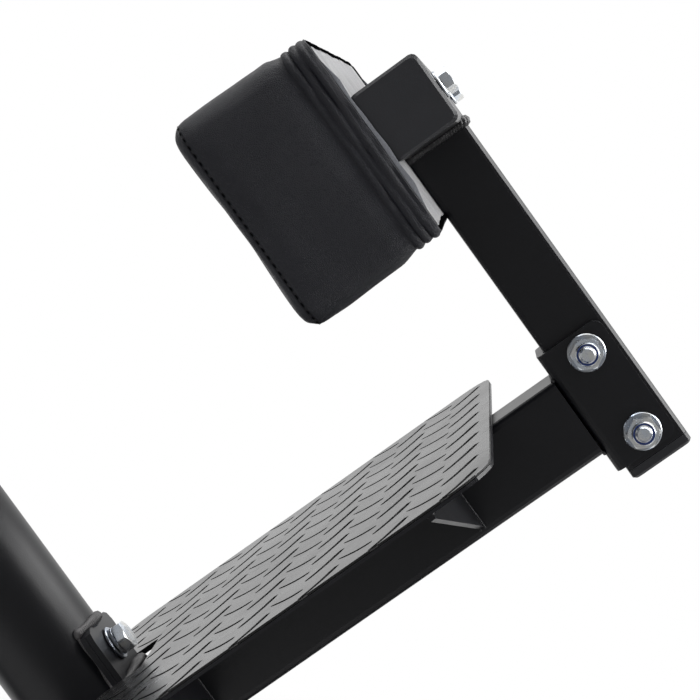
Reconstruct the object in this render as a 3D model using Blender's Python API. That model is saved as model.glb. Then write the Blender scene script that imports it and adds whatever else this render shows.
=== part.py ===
# Hyperextension bench: a tilted foot frame with a calf pad and a footplate, a round mast
# with a sliding hip pad carriage, and a floor base with two transport wheels.
#
# Units are metres. The foot frame, the mast and the carriage are modelled in a tilted frame:
# its x (U) runs along the foot beam, up and to the rear, its y is sideways, and its z (V)
# runs along the mast, up and to the front. U is 0 on the post's rear face.

import math

import bmesh
import bpy
from mathutils import Vector

# Clearances
GAP = 0.0003                    # between pieces that rest on each other
BOLT_GAP = 0.0005               # round a bolt in its hole, on the radius
SLIDE_GAP = 0.00025             # round a piece that slides or turns, on the radius

# Where the tilted frame stands
TILT_DEG = 35.0                 # foot beam above the floor
DATUM_HEIGHT = 0.490            # tilted frame's origin above the floor

# Post and its lower plug
POST_SIZE = 0.040
POST_WALL = 0.0025
POST_CORNER = 0.0035
POST_TOP = 0.0248
POST_BELOW_BRACKET = 0.0037
PLUG_BEVEL = 0.0015
POST_PLUG_HEAD = 0.006
POST_PLUG_DEPTH = 0.009         # stops short of the lower bolt

# U-bracket round the post
BRACKET_WALL = 0.0045
BRACKET_BEND = 0.006
BRACKET_HEIGHT = 0.0797
BRACKET_RISE = 0.00165          # its middle above the foot beam's axis
BRACKET_BOLT_SPACING = 0.0547
BRACKET_REAR_INSET = 0.0035      # its sides stop short of the post's rear face
BRACKET_REAR_CORNER = 0.006
BRACKET_BOLT_EDGE = 0.0117      # lower bolt above the bracket's lower edge

# Foot beam
BEAM_SIZE = 0.050
BEAM_WALL = 0.003
BEAM_CORNER = 0.0045
BEAM_AXIS_V = -0.1502

# Cross tube of the calf pad
CROSS_LENGTH = 0.340            # over its plugs
CROSS_PLUG_HEAD = 0.004
CROSS_PLUG_REACH = 0.6          # its shank, as a share of the way to the pad's bolt

# Calf pad
CALF_WIDTH = 0.350
CALF_HEIGHT = 0.119
CALF_DROP = 0.0017              # its middle below the cross tube's axis
CALF_FOAM = 0.080               # back plane to front seam
CALF_CROWN = 0.005
CALF_CORNER = 0.012
CALF_BOARD = 0.012
CALF_BOLT_SPACING = 0.264

# Cushion cover, shared by all the pads
COVER_RIDGE = 0.0016
COVER_RIDGE_PITCH = 0.0043
COVER_RIDGES = 3
COVER_DRAW = 0.0015             # how far the sides are drawn in
COVER_ROUND = 0.007             # front edge
COVER_SEAM_DEPTH = 0.0012
COVER_HEM = 0.007               # cover folded over the board's edge
CROWN_FLATNESS = 2.6
CROWN_RINGS = (0.88, 0.70, 0.48, 0.24)
FELT_THICKNESS = 0.001

# Footplate and its tread mat
PLATE_REAR = -0.087
PLATE_FROM_AXIS = -0.0095       # from the mast's axis to the plate's front edge
PLATE_WIDTH = 0.374
PLATE_THICKNESS = 0.0018
PLATE_CORNER = 0.022
MAT_THICKNESS = 0.0012
NOTCH_CLEAR = 0.0148            # from the flange's face to the notch's straight end
NOTCH_SIDE_CLEAR = 0.0075       # beside the flange
NOTCH_MAST_GAP = 0.0075         # round the mast

# Tread: columns of curved grooves, sloping one way and the other by turns
TREAD_COLUMN = 0.0216
TREAD_PITCH = 0.0416            # between two grooves of a column
TREAD_REAR = 0.0085             # from the plate's rear edge to the first column line
TREAD_SIDE = 0.0217             # from the plate's side to the first groove's start
TREAD_SLOPES = (-0.034, 0.0045)  # run along y over one column, before the bend
TREAD_BEND = 0.013
TREAD_WIDTH = 0.0030
TREAD_DEPTH = 0.0008
TREAD_LAND = 0.03               # share of a groove left solid at each end
TREAD_MARGIN = 0.0015           # to the mat's edges

# Gussets below the footplate
GUSSET_THICKNESS = 0.003
GUSSET_SIDE_INSET = 0.007       # inside the plate's side edge
GUSSET_DEPTH = 0.0445
GUSSET_TIP = 0.0035
GUSSET_REAR_INSET = 0.0393      # from the plate's rear edge
GUSSET_FRONT_INSET = 0.078      # from the plate's front edge

# Mast
MAST_RADIUS = 0.0345
MAST_WALL = 0.003
MAST_AXIS_U = -0.3826
MAST_TOP = 0.300

# Flange joint
FLANGE_THICKNESS = 0.0035
FLANGE_WIDTH = 0.057
FLANGE_HEIGHT = 0.125
FLANGE_CORNER = 0.007
FLANGE_BOLT_SPACING = 0.090
FLANGE_BOLT_PAST = 0.012        # bolt's end inside the mast, past the flange plates

# Fasteners
M10_RADIUS = 0.005
M10_FLATS = 0.017
M10_HEAD = 0.0064
M10_NUT = 0.0105
M10_WASHER = 0.011
M8_RADIUS = 0.004
M8_FLATS = 0.013
M8_HEAD = 0.0053
M8_WASHER = 0.008
M8_IN_BOARD = 0.009             # how far the pad bolts reach past the cross tube
WASHER_THICKNESS = 0.0018
SPRING_WASHER = 0.0022
# Floor base
RAIL_SIZE = 0.060
RAIL_WALL = 0.003
RAIL_CORNER = 0.005
REAR_CROSS_X = 0.085            # rear cross tube's axis behind the tilted frame's origin
CROSS_SPREAD = 1.030            # between the two cross tubes' axes
REAR_CROSS_WIDTH = 0.600
FRONT_CROSS_WIDTH = 0.500
CAP_FOOT = 0.008                # rubber below the tubes
CAP_WALL = 0.003
CAP_LENGTH = 0.045
CAP_END = 0.004
BASE_PLATE_LENGTH = 0.140
BASE_PLATE_WIDTH = 0.100
BASE_PLATE_THICKNESS = 0.006

# Strut from the mast to the base rail
STRUT_SIZE = 0.050
STRUT_AXIS_V = 0.150

# Transport wheels
WHEEL_RADIUS = 0.030
WHEEL_WIDTH = 0.024
WHEEL_LIFT = 0.003              # above the floor
WHEEL_REACH = 0.034             # axle in front of the cross tube's face
WHEEL_SPREAD = 0.300            # between the two wheels' middles
WHEEL_SIDE_GAP = 0.0012
EAR_THICKNESS = 0.003
EAR_RADIUS = 0.013
AXLE_RADIUS = 0.004
AXLE_HEAD_RADIUS = 0.0075
AXLE_HEAD = 0.0035

# Collar and inner tube
COLLAR_RIM = 0.0048
COLLAR_RIM_HEIGHT = 0.012
COLLAR_DEPTH = 0.052
INNER_RADIUS = 0.0285
INNER_WALL = 0.003
INNER_LENGTH = 0.600
INNER_RISE = 0.340              # its head above the mast's mouth, at rest
HOLE_RADIUS = 0.006
HOLE_PITCH = 0.030
HOLES_ABOVE = 3                 # steps the carriage can still go down
HOLES_BELOW = 2                 # steps it can still go up

# Pull-pin
PIN_BELOW_MOUTH = 0.038
PIN_RADIUS = 0.005
PIN_TRAVEL = 0.014
PIN_TIP_CLEAR = 0.004           # parked tip to the inner tube
PIN_COLLAR_RADIUS = 0.0068
PIN_COLLAR = 0.003
HOUSING_RADIUS = 0.0115
HOUSING_BORE = 0.0071
HOUSING_LENGTH = 0.031
HOUSING_END = 0.003
HOUSING_FLATS = 0.021
KNOB_RADIUS = 0.017
KNOB_LENGTH = 0.024
KNOB_LIFT = 0.001               # knob off the housing when the pin is in
SPRING_WIRE = 0.0006
SPRING_TURNS = 4

# Hip pads and their frame
PAD_FRAME_CLEAR = 0.0032        # from the collar's front to the plate's back
PAD_FRAME_THICKNESS = 0.005
PAD_FRAME_BELOW_HEAD = 0.010
PAD_FRAME_HEIGHT = 0.210
PAD_FRAME_WIDTH = 0.230
PAD_FRAME_CORNER = 0.015
RIB_SPREAD = 0.040
RIB_THICKNESS = 0.005
RIB_TAPER = 0.030               # how much shorter its root is, at each end
RIB_INSET = 0.004
HIP_WIDTH = 0.140
HIP_HEIGHT = 0.270
HIP_RISE = 0.005                # the pads' middle above the frame plate's
HIP_FOAM = 0.060
HIP_CROWN = 0.007
HIP_CORNER = 0.030
HIP_SPLIT = 0.030               # between the two pads
HIP_BOARD = 0.012

# Handle bar
BAR_RADIUS = 0.014
BAR_WALL = 0.002
BAR_BELOW_HEAD = 0.040
HAND_SPACE = 0.070              # from a hip pad's side to the grip's axis
BAR_BEND = 0.060
BAR_STRAIGHT = 0.0038           # bare bar between the bend and the grip
GRIP_WALL = 0.0035
GRIP_LENGTH = 0.115
GRIP_RIBS = 5
GRIP_RIB_DEPTH = 0.0012
GRIP_END = 0.004

# Facets
BOLT_SIDES = 18
MAST_SIDES = 40
WHEEL_SIDES = 24
BAR_SIDES = 14
HOLE_SIDES = 14
CORNER_STEPS = 3

# Colours, roughness and metal of each finish
FINISHES = {
    "powder_coat": ((0.016, 0.016, 0.019), 0.50, 0.0),
    "zinc": ((0.62, 0.65, 0.70), 0.28, 1.0),
    "chrome": ((0.72, 0.73, 0.75), 0.15, 1.0),
    "spring_steel": ((0.35, 0.36, 0.38), 0.35, 1.0),
    "vinyl": ((0.030, 0.031, 0.037), 0.55, 0.0),
    "rubber": ((0.022, 0.022, 0.025), 0.80, 0.0),
    "plastic": ((0.024, 0.024, 0.029), 0.45, 0.0),
    "plywood": ((0.45, 0.31, 0.17), 0.75, 0.0),
    "felt": ((0.50, 0.50, 0.52), 0.95, 0.0),
}

# Worked out from the sizes above
COS_TILT = math.cos(math.radians(TILT_DEG))
SIN_TILT = math.sin(math.radians(TILT_DEG))
POST_MIDDLE = -POST_SIZE / 2
BRACKET_WEB = -POST_SIZE - GAP - BRACKET_WALL
BRACKET_HALF = POST_SIZE / 2 + GAP + BRACKET_WALL
BRACKET_BOTTOM = BEAM_AXIS_V + BRACKET_RISE - BRACKET_HEIGHT / 2
BRACKET_TOP = BRACKET_BOTTOM + BRACKET_HEIGHT
POST_BOTTOM = BRACKET_BOTTOM - POST_BELOW_BRACKET
BOLT_LOW_V = BRACKET_BOTTOM + BRACKET_BOLT_EDGE
BOLT_HIGH_V = BOLT_LOW_V + BRACKET_BOLT_SPACING
BEAM_REAR = BRACKET_WEB - GAP
BEAM_TOP = BEAM_AXIS_V + BEAM_SIZE / 2
CROSS_LOW = POST_TOP + GAP
CROSS_AXIS_V = CROSS_LOW + POST_SIZE / 2
CROSS_PLUG_ROOM = (CROSS_LENGTH - CALF_BOLT_SPACING) / 2 - CROSS_PLUG_HEAD - M8_RADIUS
CROSS_PLUG_DEPTH = CROSS_PLUG_ROOM * CROSS_PLUG_REACH
PAD_BACK = -POST_SIZE - GAP
FLANGE_FACE = MAST_AXIS_U + MAST_RADIUS
FLANGE_BACK = FLANGE_FACE - 2 * FLANGE_THICKNESS - GAP
BEAM_FRONT = FLANGE_FACE + GAP
PLATE_FRONT = MAST_AXIS_U + PLATE_FROM_AXIS
RAIL_TOP = CAP_FOOT + RAIL_SIZE
REAR_EDGE = REAR_CROSS_X + RAIL_SIZE / 2 + CAP_WALL + GAP
FRONT_CROSS_X = REAR_CROSS_X - CROSS_SPREAD
AXLE_X = FRONT_CROSS_X - RAIL_SIZE / 2 - WHEEL_REACH
FRONT_EDGE = AXLE_X - WHEEL_RADIUS
DATUM_X = -(REAR_EDGE + FRONT_EDGE) / 2
COLLAR_BORE = INNER_RADIUS + SLIDE_GAP
COLLAR_TOP = MAST_TOP + GAP + COLLAR_RIM_HEIGHT
INNER_TOP = MAST_TOP + INNER_RISE
HOUSING_INNER = MAST_RADIUS + GAP
HOUSING_OUTER = HOUSING_INNER + HOUSING_LENGTH
PIN_V = MAST_TOP - PIN_BELOW_MOUTH
PIN_TIP = INNER_RADIUS + PIN_TIP_CLEAR
KNOB_INNER = HOUSING_OUTER + PIN_TRAVEL + KNOB_LIFT
PIN_COLLAR_INNER = HOUSING_INNER + PIN_TRAVEL + 2 * PIN_COLLAR / 3
PAD_FRAME_BACK = MAST_RADIUS + COLLAR_RIM + PAD_FRAME_CLEAR
HIP_BACK = PAD_FRAME_BACK + PAD_FRAME_THICKNESS + GAP
PAD_FRAME_MIDDLE_V = INNER_TOP - PAD_FRAME_BELOW_HEAD - PAD_FRAME_HEIGHT / 2
BAR_BACK = -INNER_RADIUS - GAP - BAR_RADIUS
BAR_END = BAR_BACK + BAR_BEND + BAR_STRAIGHT + GRIP_LENGTH
BAR_V = INNER_TOP - BAR_BELOW_HEAD
BAR_HALF = HIP_SPLIT / 2 + HIP_WIDTH + HAND_SPACE


# Scene, materials and pieces

def clear_scene():
    for item in list(bpy.data.objects):
        bpy.data.objects.remove(item, do_unlink=True)


def make_material(name, finish):
    colour, roughness, metallic = FINISHES[finish]
    made = bpy.data.materials.new(name)
    made.use_nodes = True
    shader = made.node_tree.nodes["Principled BSDF"]
    shader.inputs["Base Color"].default_value = (*colour, 1.0)
    shader.inputs["Roughness"].default_value = roughness
    shader.inputs["Metallic"].default_value = metallic
    made.diffuse_color = (*colour, 1.0)
    return made


def add_empty(name, parent=None, location=(0, 0, 0), tilt=0.0):
    empty = bpy.data.objects.new(name, None)
    empty.empty_display_size = 0.05
    empty.parent = parent
    empty.location = location
    empty.rotation_euler.y = tilt
    bpy.context.scene.collection.objects.link(empty)
    return empty


def add_mesh(name, bm, parent, location):
    bmesh.ops.recalc_face_normals(bm, faces=bm.faces)
    mesh = bpy.data.meshes.new(name)
    bm.to_mesh(mesh)
    bm.free()
    mesh.shade_smooth()
    mesh.set_sharp_from_angle(angle=math.radians(32))
    made = bpy.data.objects.new(name, mesh)
    made.parent = parent
    made.location = location
    bpy.context.scene.collection.objects.link(made)
    return made


def add_piece(name, bm, finish, parent, location=(0, 0, 0)):
    made = add_mesh(name, bm, parent, location)
    made.data.materials.append(make_material(name, finish))
    return made


def add_cutter(name, bm, parent, location=(0, 0, 0)):
    made = add_mesh(name, bm, parent, location)
    made.hide_render = True
    made.display_type = "WIRE"
    return made


def combine(piece, operation, tools):
    for tool in tools:
        step = piece.modifiers.new(tool.name, "BOOLEAN")
        step.operation = operation
        step.solver = "EXACT"
        step.object = tool


def cut(piece, *cutters):
    combine(piece, "DIFFERENCE", cutters)


def weld(piece, *added):
    combine(piece, "UNION", added)


# Outlines, as (a, b) points in order

def circle(radius, sides, centre=(0, 0)):
    turn = 2 * math.pi / sides
    return [(centre[0] + radius * math.cos(turn * i), centre[1] + radius * math.sin(turn * i))
            for i in range(sides)]


def hexagon(flats, sides=BOLT_SIDES):
    points = []
    for i in range(sides):
        angle = 2 * math.pi * i / sides
        off_middle = (angle + math.pi / 6) % (math.pi / 3) - math.pi / 6
        radius = flats / 2 / math.cos(off_middle)
        points.append((radius * math.cos(angle), radius * math.sin(angle)))
    return points


def arc(centre, radius, start, end, steps):
    points = []
    for i in range(steps + 1):
        angle = math.radians(start + (end - start) * i / steps)
        points.append((centre[0] + radius * math.cos(angle), centre[1] + radius * math.sin(angle)))
    return points


def rounded_box(width, depth, radius, steps=CORNER_STEPS, centre=(0, 0)):
    points = []
    corners = ((1, 1, 0), (-1, 1, 90), (-1, -1, 180), (1, -1, 270))
    for side_a, side_b, start in corners:
        middle = (centre[0] + side_a * (width / 2 - radius), centre[1] + side_b * (depth / 2 - radius))
        points += arc(middle, radius, start, start + 90, steps)
    return points


# Solids

def along(axis, distance, point):
    a, b = point
    return {"x": (distance, a, b), "y": (a, distance, b), "z": (a, b, distance)}[axis]


def skin(bm, rings, closed=False):
    loops = [[bm.verts.new(point) for point in ring] for ring in rings]
    pairs = list(zip(loops, loops[1:]))
    if closed:
        pairs.append((loops[-1], loops[0]))
    for first, second in pairs:
        for i, vert in enumerate(first):
            j = (i + 1) % len(first)
            bm.faces.new((vert, first[j], second[j], second[i]))
    if not closed:
        bm.faces.new(loops[0])
        bm.faces.new(loops[-1])


def sections(axis, stations):
    return [[along(axis, distance, point) for point in outline] for distance, outline in stations]


def prism(axis, start, end, outline):
    bm = bmesh.new()
    skin(bm, sections(axis, [(start, outline), (end, outline)]))
    return bm


def hollow_prism(axis, start, end, outer, inner):
    bm = bmesh.new()
    skin(bm, sections(axis, [(start, outer), (end, outer), (end, inner), (start, inner)]), closed=True)
    return bm


def square_tube(axis, start, end, size, wall, corner):
    inside = size - 2 * wall
    outer = rounded_box(size, size, corner)
    inner = rounded_box(inside, inside, max(corner - wall, corner / 4))
    return hollow_prism(axis, start, end, outer, inner)


def turned(axis, profile, sides, closed=False):
    bm = bmesh.new()
    stations = [(distance, circle(radius, sides)) for distance, radius in profile]
    skin(bm, sections(axis, stations), closed=closed)
    return bm


def plate(axis, start, thickness, outline, holes=()):
    bm = bmesh.new()
    edges = []
    for loop in [outline, *holes]:
        verts = [bm.verts.new(along(axis, start, point)) for point in loop]
        edges += [bm.edges.new((verts[i - 1], verts[i])) for i in range(len(verts))]
    bmesh.ops.triangle_fill(bm, use_beauty=True, edges=edges)
    lifted = bmesh.ops.extrude_face_region(bm, geom=bm.faces[:], use_keep_orig=True)
    moved = [item for item in lifted["geom"] if isinstance(item, bmesh.types.BMVert)]
    bmesh.ops.translate(bm, verts=moved, vec=Vector(along(axis, thickness, (0, 0))))
    return bm


def bolt(axis, flats, head, radius, length, direction, chamfer=0.0008):
    # The head's seat is at 0, the head goes one way along the axis and the shank the other.
    bm = bmesh.new()
    stations = [
        (-length, circle(radius - chamfer, BOLT_SIDES)),
        (-length + chamfer, circle(radius, BOLT_SIDES)),
        (0, circle(radius, BOLT_SIDES)),
        (0, hexagon(flats)),
        (head - chamfer, hexagon(flats)),
        (head, circle(flats / 2 - chamfer / 2, BOLT_SIDES)),
    ]
    skin(bm, sections(axis, [(direction * at, outline) for at, outline in stations]))
    return bm


def nut(axis, flats, height, bore, direction, dome=0.0025, chamfer=0.0008):
    bm = bmesh.new()
    stations = [
        (0, circle(bore, BOLT_SIDES)),
        (0, circle(flats / 2 - chamfer / 2, BOLT_SIDES)),
        (chamfer, hexagon(flats)),
        (height - dome, hexagon(flats)),
        (height - dome, circle(flats * 0.42, BOLT_SIDES)),
        (height, circle(flats * 0.37, BOLT_SIDES)),
        (height, circle(bore, BOLT_SIDES)),
    ]
    skin(bm, sections(axis, [(direction * at, outline) for at, outline in stations]), closed=True)
    return bm


def washer(axis, outer, bore, thickness, direction):
    rim = [(0, bore), (0, outer), (direction * thickness, outer), (direction * thickness, bore)]
    return turned(axis, rim, BOLT_SIDES, closed=True)


def hole_cutter(name, axis, radius, start, end, parent, location):
    return add_cutter(name, prism(axis, start, end, circle(radius, HOLE_SIDES)), parent, location)


# Post, bracket and cross tube

def make_post(frame):
    tube = add_piece("post_tube",
                     square_tube("z", POST_BOTTOM, POST_TOP, POST_SIZE, POST_WALL, POST_CORNER),
                     "powder_coat", frame, (POST_MIDDLE, 0, 0))
    plug = plug_solid("z", POST_PLUG_HEAD, POST_PLUG_DEPTH, -1)
    add_piece("post_end_cap", plug, "plastic", frame, (POST_MIDDLE, 0, POST_BOTTOM - GAP))
    return tube


def plug_solid(axis, head, depth, outward):
    # Seat at 0; the head lies outward and the shank inside the tube.
    inside = POST_SIZE - 2 * POST_WALL - 2 * GAP
    corner = max(POST_CORNER - POST_WALL, POST_CORNER / 4)
    rim = POST_SIZE - 2 * PLUG_BEVEL
    bm = bmesh.new()
    stations = [
        (-depth, rounded_box(inside - PLUG_BEVEL, inside - PLUG_BEVEL, corner)),
        (-depth + PLUG_BEVEL, rounded_box(inside, inside, corner)),
        (0, rounded_box(inside, inside, corner)),
        (0, rounded_box(POST_SIZE, POST_SIZE, POST_CORNER)),
        (head - PLUG_BEVEL, rounded_box(POST_SIZE, POST_SIZE, POST_CORNER)),
        (head, rounded_box(rim, rim, POST_CORNER)),
    ]
    skin(bm, sections(axis, [(outward * at, outline) for at, outline in stations]))
    return bm


def make_bracket(frame, post):
    inner = POST_SIZE / 2 + GAP
    bend = BRACKET_BEND - BRACKET_WALL
    web_back = BRACKET_WEB
    web_face = BRACKET_WEB + BRACKET_WALL
    rear = -BRACKET_REAR_INSET
    outline = [(rear, -BRACKET_HALF)]
    outline += arc((web_back + BRACKET_BEND, -BRACKET_HALF + BRACKET_BEND), BRACKET_BEND, 270, 180, 4)
    outline += arc((web_back + BRACKET_BEND, BRACKET_HALF - BRACKET_BEND), BRACKET_BEND, 180, 90, 4)
    outline += [(rear, BRACKET_HALF), (rear, inner)]
    outline += arc((web_face + bend, inner - bend), bend, 90, 180, 3)
    outline += arc((web_face + bend, -inner + bend), bend, 180, 270, 3)
    outline += [(rear, -inner)]
    bracket = add_piece("u_bracket", prism("z", BRACKET_BOTTOM, BRACKET_TOP, outline),
                        "powder_coat", frame)
    for name, corner_v, way in (("top", BRACKET_TOP, 1), ("bottom", BRACKET_BOTTOM, -1)):
        rounding = bracket_corner(rear, corner_v, way)
        cut(bracket, add_cutter("bracket_corner_" + name, rounding, frame))
    for level, height in (("upper", BOLT_HIGH_V), ("lower", BOLT_LOW_V)):
        place = (POST_MIDDLE, 0, height)
        reach = BRACKET_HALF + BRACKET_WALL
        hole = hole_cutter("bracket_hole_" + level, "y", M10_RADIUS + BOLT_GAP, -reach, reach,
                           frame, place)
        cut(bracket, hole)
        cut(post, hole)
        make_bracket_fasteners(frame, level, height)


def bracket_corner(rear, corner_v, way):
    # What a square corner has outside its rounding, across both sides of the bracket.
    radius = BRACKET_REAR_CORNER
    middle = (rear - radius, corner_v - way * radius)
    past = radius / 2
    outline = arc(middle, radius, 0, 90 * way, 4)
    outline += [(rear - radius, corner_v + way * past), (rear + past, corner_v + way * past),
                (rear + past, corner_v - way * radius)]
    reach = BRACKET_HALF + BRACKET_WALL
    return prism("y", -reach, reach, outline)


def make_bracket_fasteners(frame, level, height):
    near_seat = BRACKET_HALF + GAP
    nut_seat = near_seat + WASHER_THICKNESS + GAP
    length = near_seat + nut_seat + M10_NUT + 0.0015
    add_piece("bracket_bolt_" + level,
              bolt("y", M10_FLATS, M10_HEAD, M10_RADIUS, length, 1),
              "zinc", frame, (POST_MIDDLE, near_seat, height))
    add_piece("bracket_washer_" + level,
              washer("y", M10_WASHER, M10_RADIUS + BOLT_GAP, WASHER_THICKNESS, -1),
              "zinc", frame, (POST_MIDDLE, -near_seat, height))
    add_piece("bracket_nut_" + level,
              nut("y", M10_FLATS, M10_NUT, M10_RADIUS + GAP, -1),
              "zinc", frame, (POST_MIDDLE, -nut_seat, height))


def make_cross_tube(frame):
    half = CROSS_LENGTH / 2 - CROSS_PLUG_HEAD
    tube = add_piece("cross_tube",
                     square_tube("y", -half, half, POST_SIZE, POST_WALL, POST_CORNER),
                     "powder_coat", frame, (POST_MIDDLE, 0, CROSS_AXIS_V))
    for side, way in (("left", -1), ("right", 1)):
        plug = plug_solid("y", CROSS_PLUG_HEAD, CROSS_PLUG_DEPTH, way)
        add_piece("cross_tube_cap_" + side, plug, "plastic", frame,
                  (POST_MIDDLE, way * (half + GAP), CROSS_AXIS_V))
        bolt_y = way * CALF_BOLT_SPACING / 2
        hole = hole_cutter("cross_hole_" + side, "x", M8_RADIUS + BOLT_GAP, -POST_SIZE, POST_SIZE,
                           frame, (POST_MIDDLE, bolt_y, CROSS_AXIS_V))
        cut(tube, hole)
        add_piece("calf_pad_washer_" + side,
                  washer("x", M8_WASHER, M8_RADIUS + GAP, WASHER_THICKNESS, 1),
                  "zinc", frame, (GAP, bolt_y, CROSS_AXIS_V))
        length = WASHER_THICKNESS + POST_SIZE + M8_IN_BOARD
        add_piece("calf_pad_bolt_" + side, bolt("x", M8_FLATS, M8_HEAD, M8_RADIUS, length, 1),
                  "zinc", frame, (2 * GAP + WASHER_THICKNESS, bolt_y, CROSS_AXIS_V))


# Pads: a board in a pocket of the cushion, with the cover's ridged hem round it

def pad_outline(width, height, corner, inset):
    radius = max(corner - inset, corner * 0.35)
    return rounded_box(width - 2 * inset, height - 2 * inset, radius, 4)


def cushion_solid(width, height, foam, crown, corner, pocket, direction):
    # The back plane is at 0 and the pad's front lies one way along the axis.
    def outline(inset):
        return pad_outline(width, height, corner, inset)

    hem = COVER_RIDGES * COVER_RIDGE_PITCH
    seam = foam - COVER_ROUND
    stations = [(pocket, outline(COVER_HEM)), (0, outline(COVER_HEM)), (0, outline(COVER_RIDGE))]
    for ridge in range(COVER_RIDGES):
        start = COVER_RIDGE_PITCH * ridge
        stations += [(start + 0.5 * COVER_RIDGE_PITCH, outline(0)),
                     (start + 0.95 * COVER_RIDGE_PITCH, outline(COVER_RIDGE))]
    middle = (hem + seam) / 2
    stations += [(middle, outline(COVER_RIDGE / 2 + COVER_DRAW))]
    stations += [(seam - 0.0015, outline(0.0004)), (seam, outline(COVER_SEAM_DEPTH)),
                 (seam + 0.0015, outline(0.0008))]
    for step in range(1, 4):
        angle = math.pi / 2 * step / 3.4
        stations.append((seam + COVER_ROUND * math.sin(angle),
                         outline(0.0008 + COVER_ROUND * (1 - math.cos(angle)))))
    rings = sections("x", stations)
    edge, rim = stations[-1]
    for share in CROWN_RINGS:
        rings.append([(edge + crown * crown_share(share * a / width, share * b / height),
                       share * a, share * b) for a, b in rim])
    bm = bmesh.new()
    skin(bm, [[(direction * at, a, b) for at, a, b in ring] for ring in rings])
    return bm


def crown_share(across, up):
    # 1 in the middle of the pad's face and 0 along its edges.
    return (1 - abs(2 * across) ** CROWN_FLATNESS) * (1 - abs(2 * up) ** CROWN_FLATNESS)


def board_solid(width, height, thickness, corner, holes, direction):
    outline = pad_outline(width, height, corner, COVER_HEM + GAP)
    return plate("x", 0, direction * thickness, outline, holes)


def make_calf_pad(frame):
    middle_v = CROSS_AXIS_V - CALF_DROP
    bolt_v = CALF_DROP
    felt_front = PAD_BACK - FELT_THICKNESS
    cushion_back = felt_front - GAP
    holes = [circle(M8_RADIUS + BOLT_GAP, 16, (way * CALF_BOLT_SPACING / 2, bolt_v))
             for way in (-1, 1)]
    foam = CALF_FOAM - FELT_THICKNESS - GAP
    cushion = cushion_solid(CALF_WIDTH, CALF_HEIGHT, foam, CALF_CROWN, CALF_CORNER,
                            CALF_BOARD + GAP, -1)
    add_piece("calf_pad_cushion", cushion, "vinyl", frame, (cushion_back, 0, middle_v))
    board = board_solid(CALF_WIDTH, CALF_HEIGHT, CALF_BOARD, CALF_CORNER, holes, -1)
    add_piece("calf_pad_board", board, "plywood", frame, (cushion_back, 0, middle_v))
    felt = rounded_box(CALF_WIDTH - COVER_HEM, CALF_HEIGHT - COVER_HEM, CALF_CORNER, 4)
    backing = plate("x", 0, -FELT_THICKNESS, felt, holes)
    add_piece("calf_pad_backing", backing, "felt", frame, (PAD_BACK, 0, middle_v))


# Foot beam, footplate and gussets

def make_foot_beam(frame):
    add_piece("foot_beam",
              square_tube("x", BEAM_FRONT, BEAM_REAR, BEAM_SIZE, BEAM_WALL, BEAM_CORNER),
              "powder_coat", frame, (0, 0, BEAM_AXIS_V))


def footplate_outline():
    front = PLATE_FRONT
    half = PLATE_WIDTH / 2
    notch_half = FLANGE_WIDTH / 2 + NOTCH_SIDE_CLEAR
    notch_end = FLANGE_FACE + NOTCH_CLEAR
    mouth = MAST_RADIUS + NOTCH_MAST_GAP
    meet = math.degrees(math.asin(notch_half / mouth))
    edge = math.degrees(math.acos((front - MAST_AXIS_U) / mouth))
    round_end = PLATE_CORNER / 4
    points = arc((PLATE_REAR - PLATE_CORNER, half - PLATE_CORNER), PLATE_CORNER, 0, 90, 5)
    points += arc((front + PLATE_CORNER, half - PLATE_CORNER), PLATE_CORNER, 90, 180, 5)
    points += arc((MAST_AXIS_U, 0), mouth, edge, meet, 5)
    points += arc((notch_end - round_end, notch_half - round_end), round_end, 90, 0, 3)
    points += arc((notch_end - round_end, -notch_half + round_end), round_end, 0, -90, 3)
    points += arc((MAST_AXIS_U, 0), mouth, -meet, -edge, 5)
    points += arc((front + PLATE_CORNER, -half + PLATE_CORNER), PLATE_CORNER, 180, 270, 5)
    points += arc((PLATE_REAR - PLATE_CORNER, -half + PLATE_CORNER), PLATE_CORNER, 270, 360, 5)
    return points


def on_mat(u, y):
    # True where a groove may run: inside the mat's edges, notch and round corners.
    half = PLATE_WIDTH / 2 - TREAD_MARGIN
    rear = PLATE_REAR - TREAD_MARGIN
    front = PLATE_FRONT + TREAD_MARGIN
    if not (front < u < rear and abs(y) < half):
        return False
    across = abs(y) - (PLATE_WIDTH / 2 - PLATE_CORNER)
    along = max(u - PLATE_REAR, PLATE_FRONT - u) + PLATE_CORNER
    if across > 0 and along > 0 and math.hypot(across, along) > PLATE_CORNER - TREAD_MARGIN:
        return False
    notch_half = FLANGE_WIDTH / 2 + NOTCH_SIDE_CLEAR + TREAD_MARGIN
    if abs(y) < notch_half and u < FLANGE_FACE + NOTCH_CLEAR + TREAD_MARGIN:
        return False
    mouth = MAST_RADIUS + NOTCH_MAST_GAP + TREAD_MARGIN
    return math.hypot(u - MAST_AXIS_U, y) > mouth


def groove_path(line, start, slope):
    # The part of one groove that lies on the mat, as four points, or none.
    def point(share):
        return (line - TREAD_COLUMN * share, start + slope * share + TREAD_BEND * share ** 2)

    steps = 32
    shares = [TREAD_LAND + (1 - 2 * TREAD_LAND) * step / steps for step in range(steps + 1)]
    kept = [share for share in shares if on_mat(*point(share))]
    if len(kept) < steps / 2 or kept[-1] - kept[0] > (len(kept) - 0.5) / steps:
        return []
    first, last = kept[0], kept[-1]
    return [point(first + (last - first) * step / 3) for step in range(4)]


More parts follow.
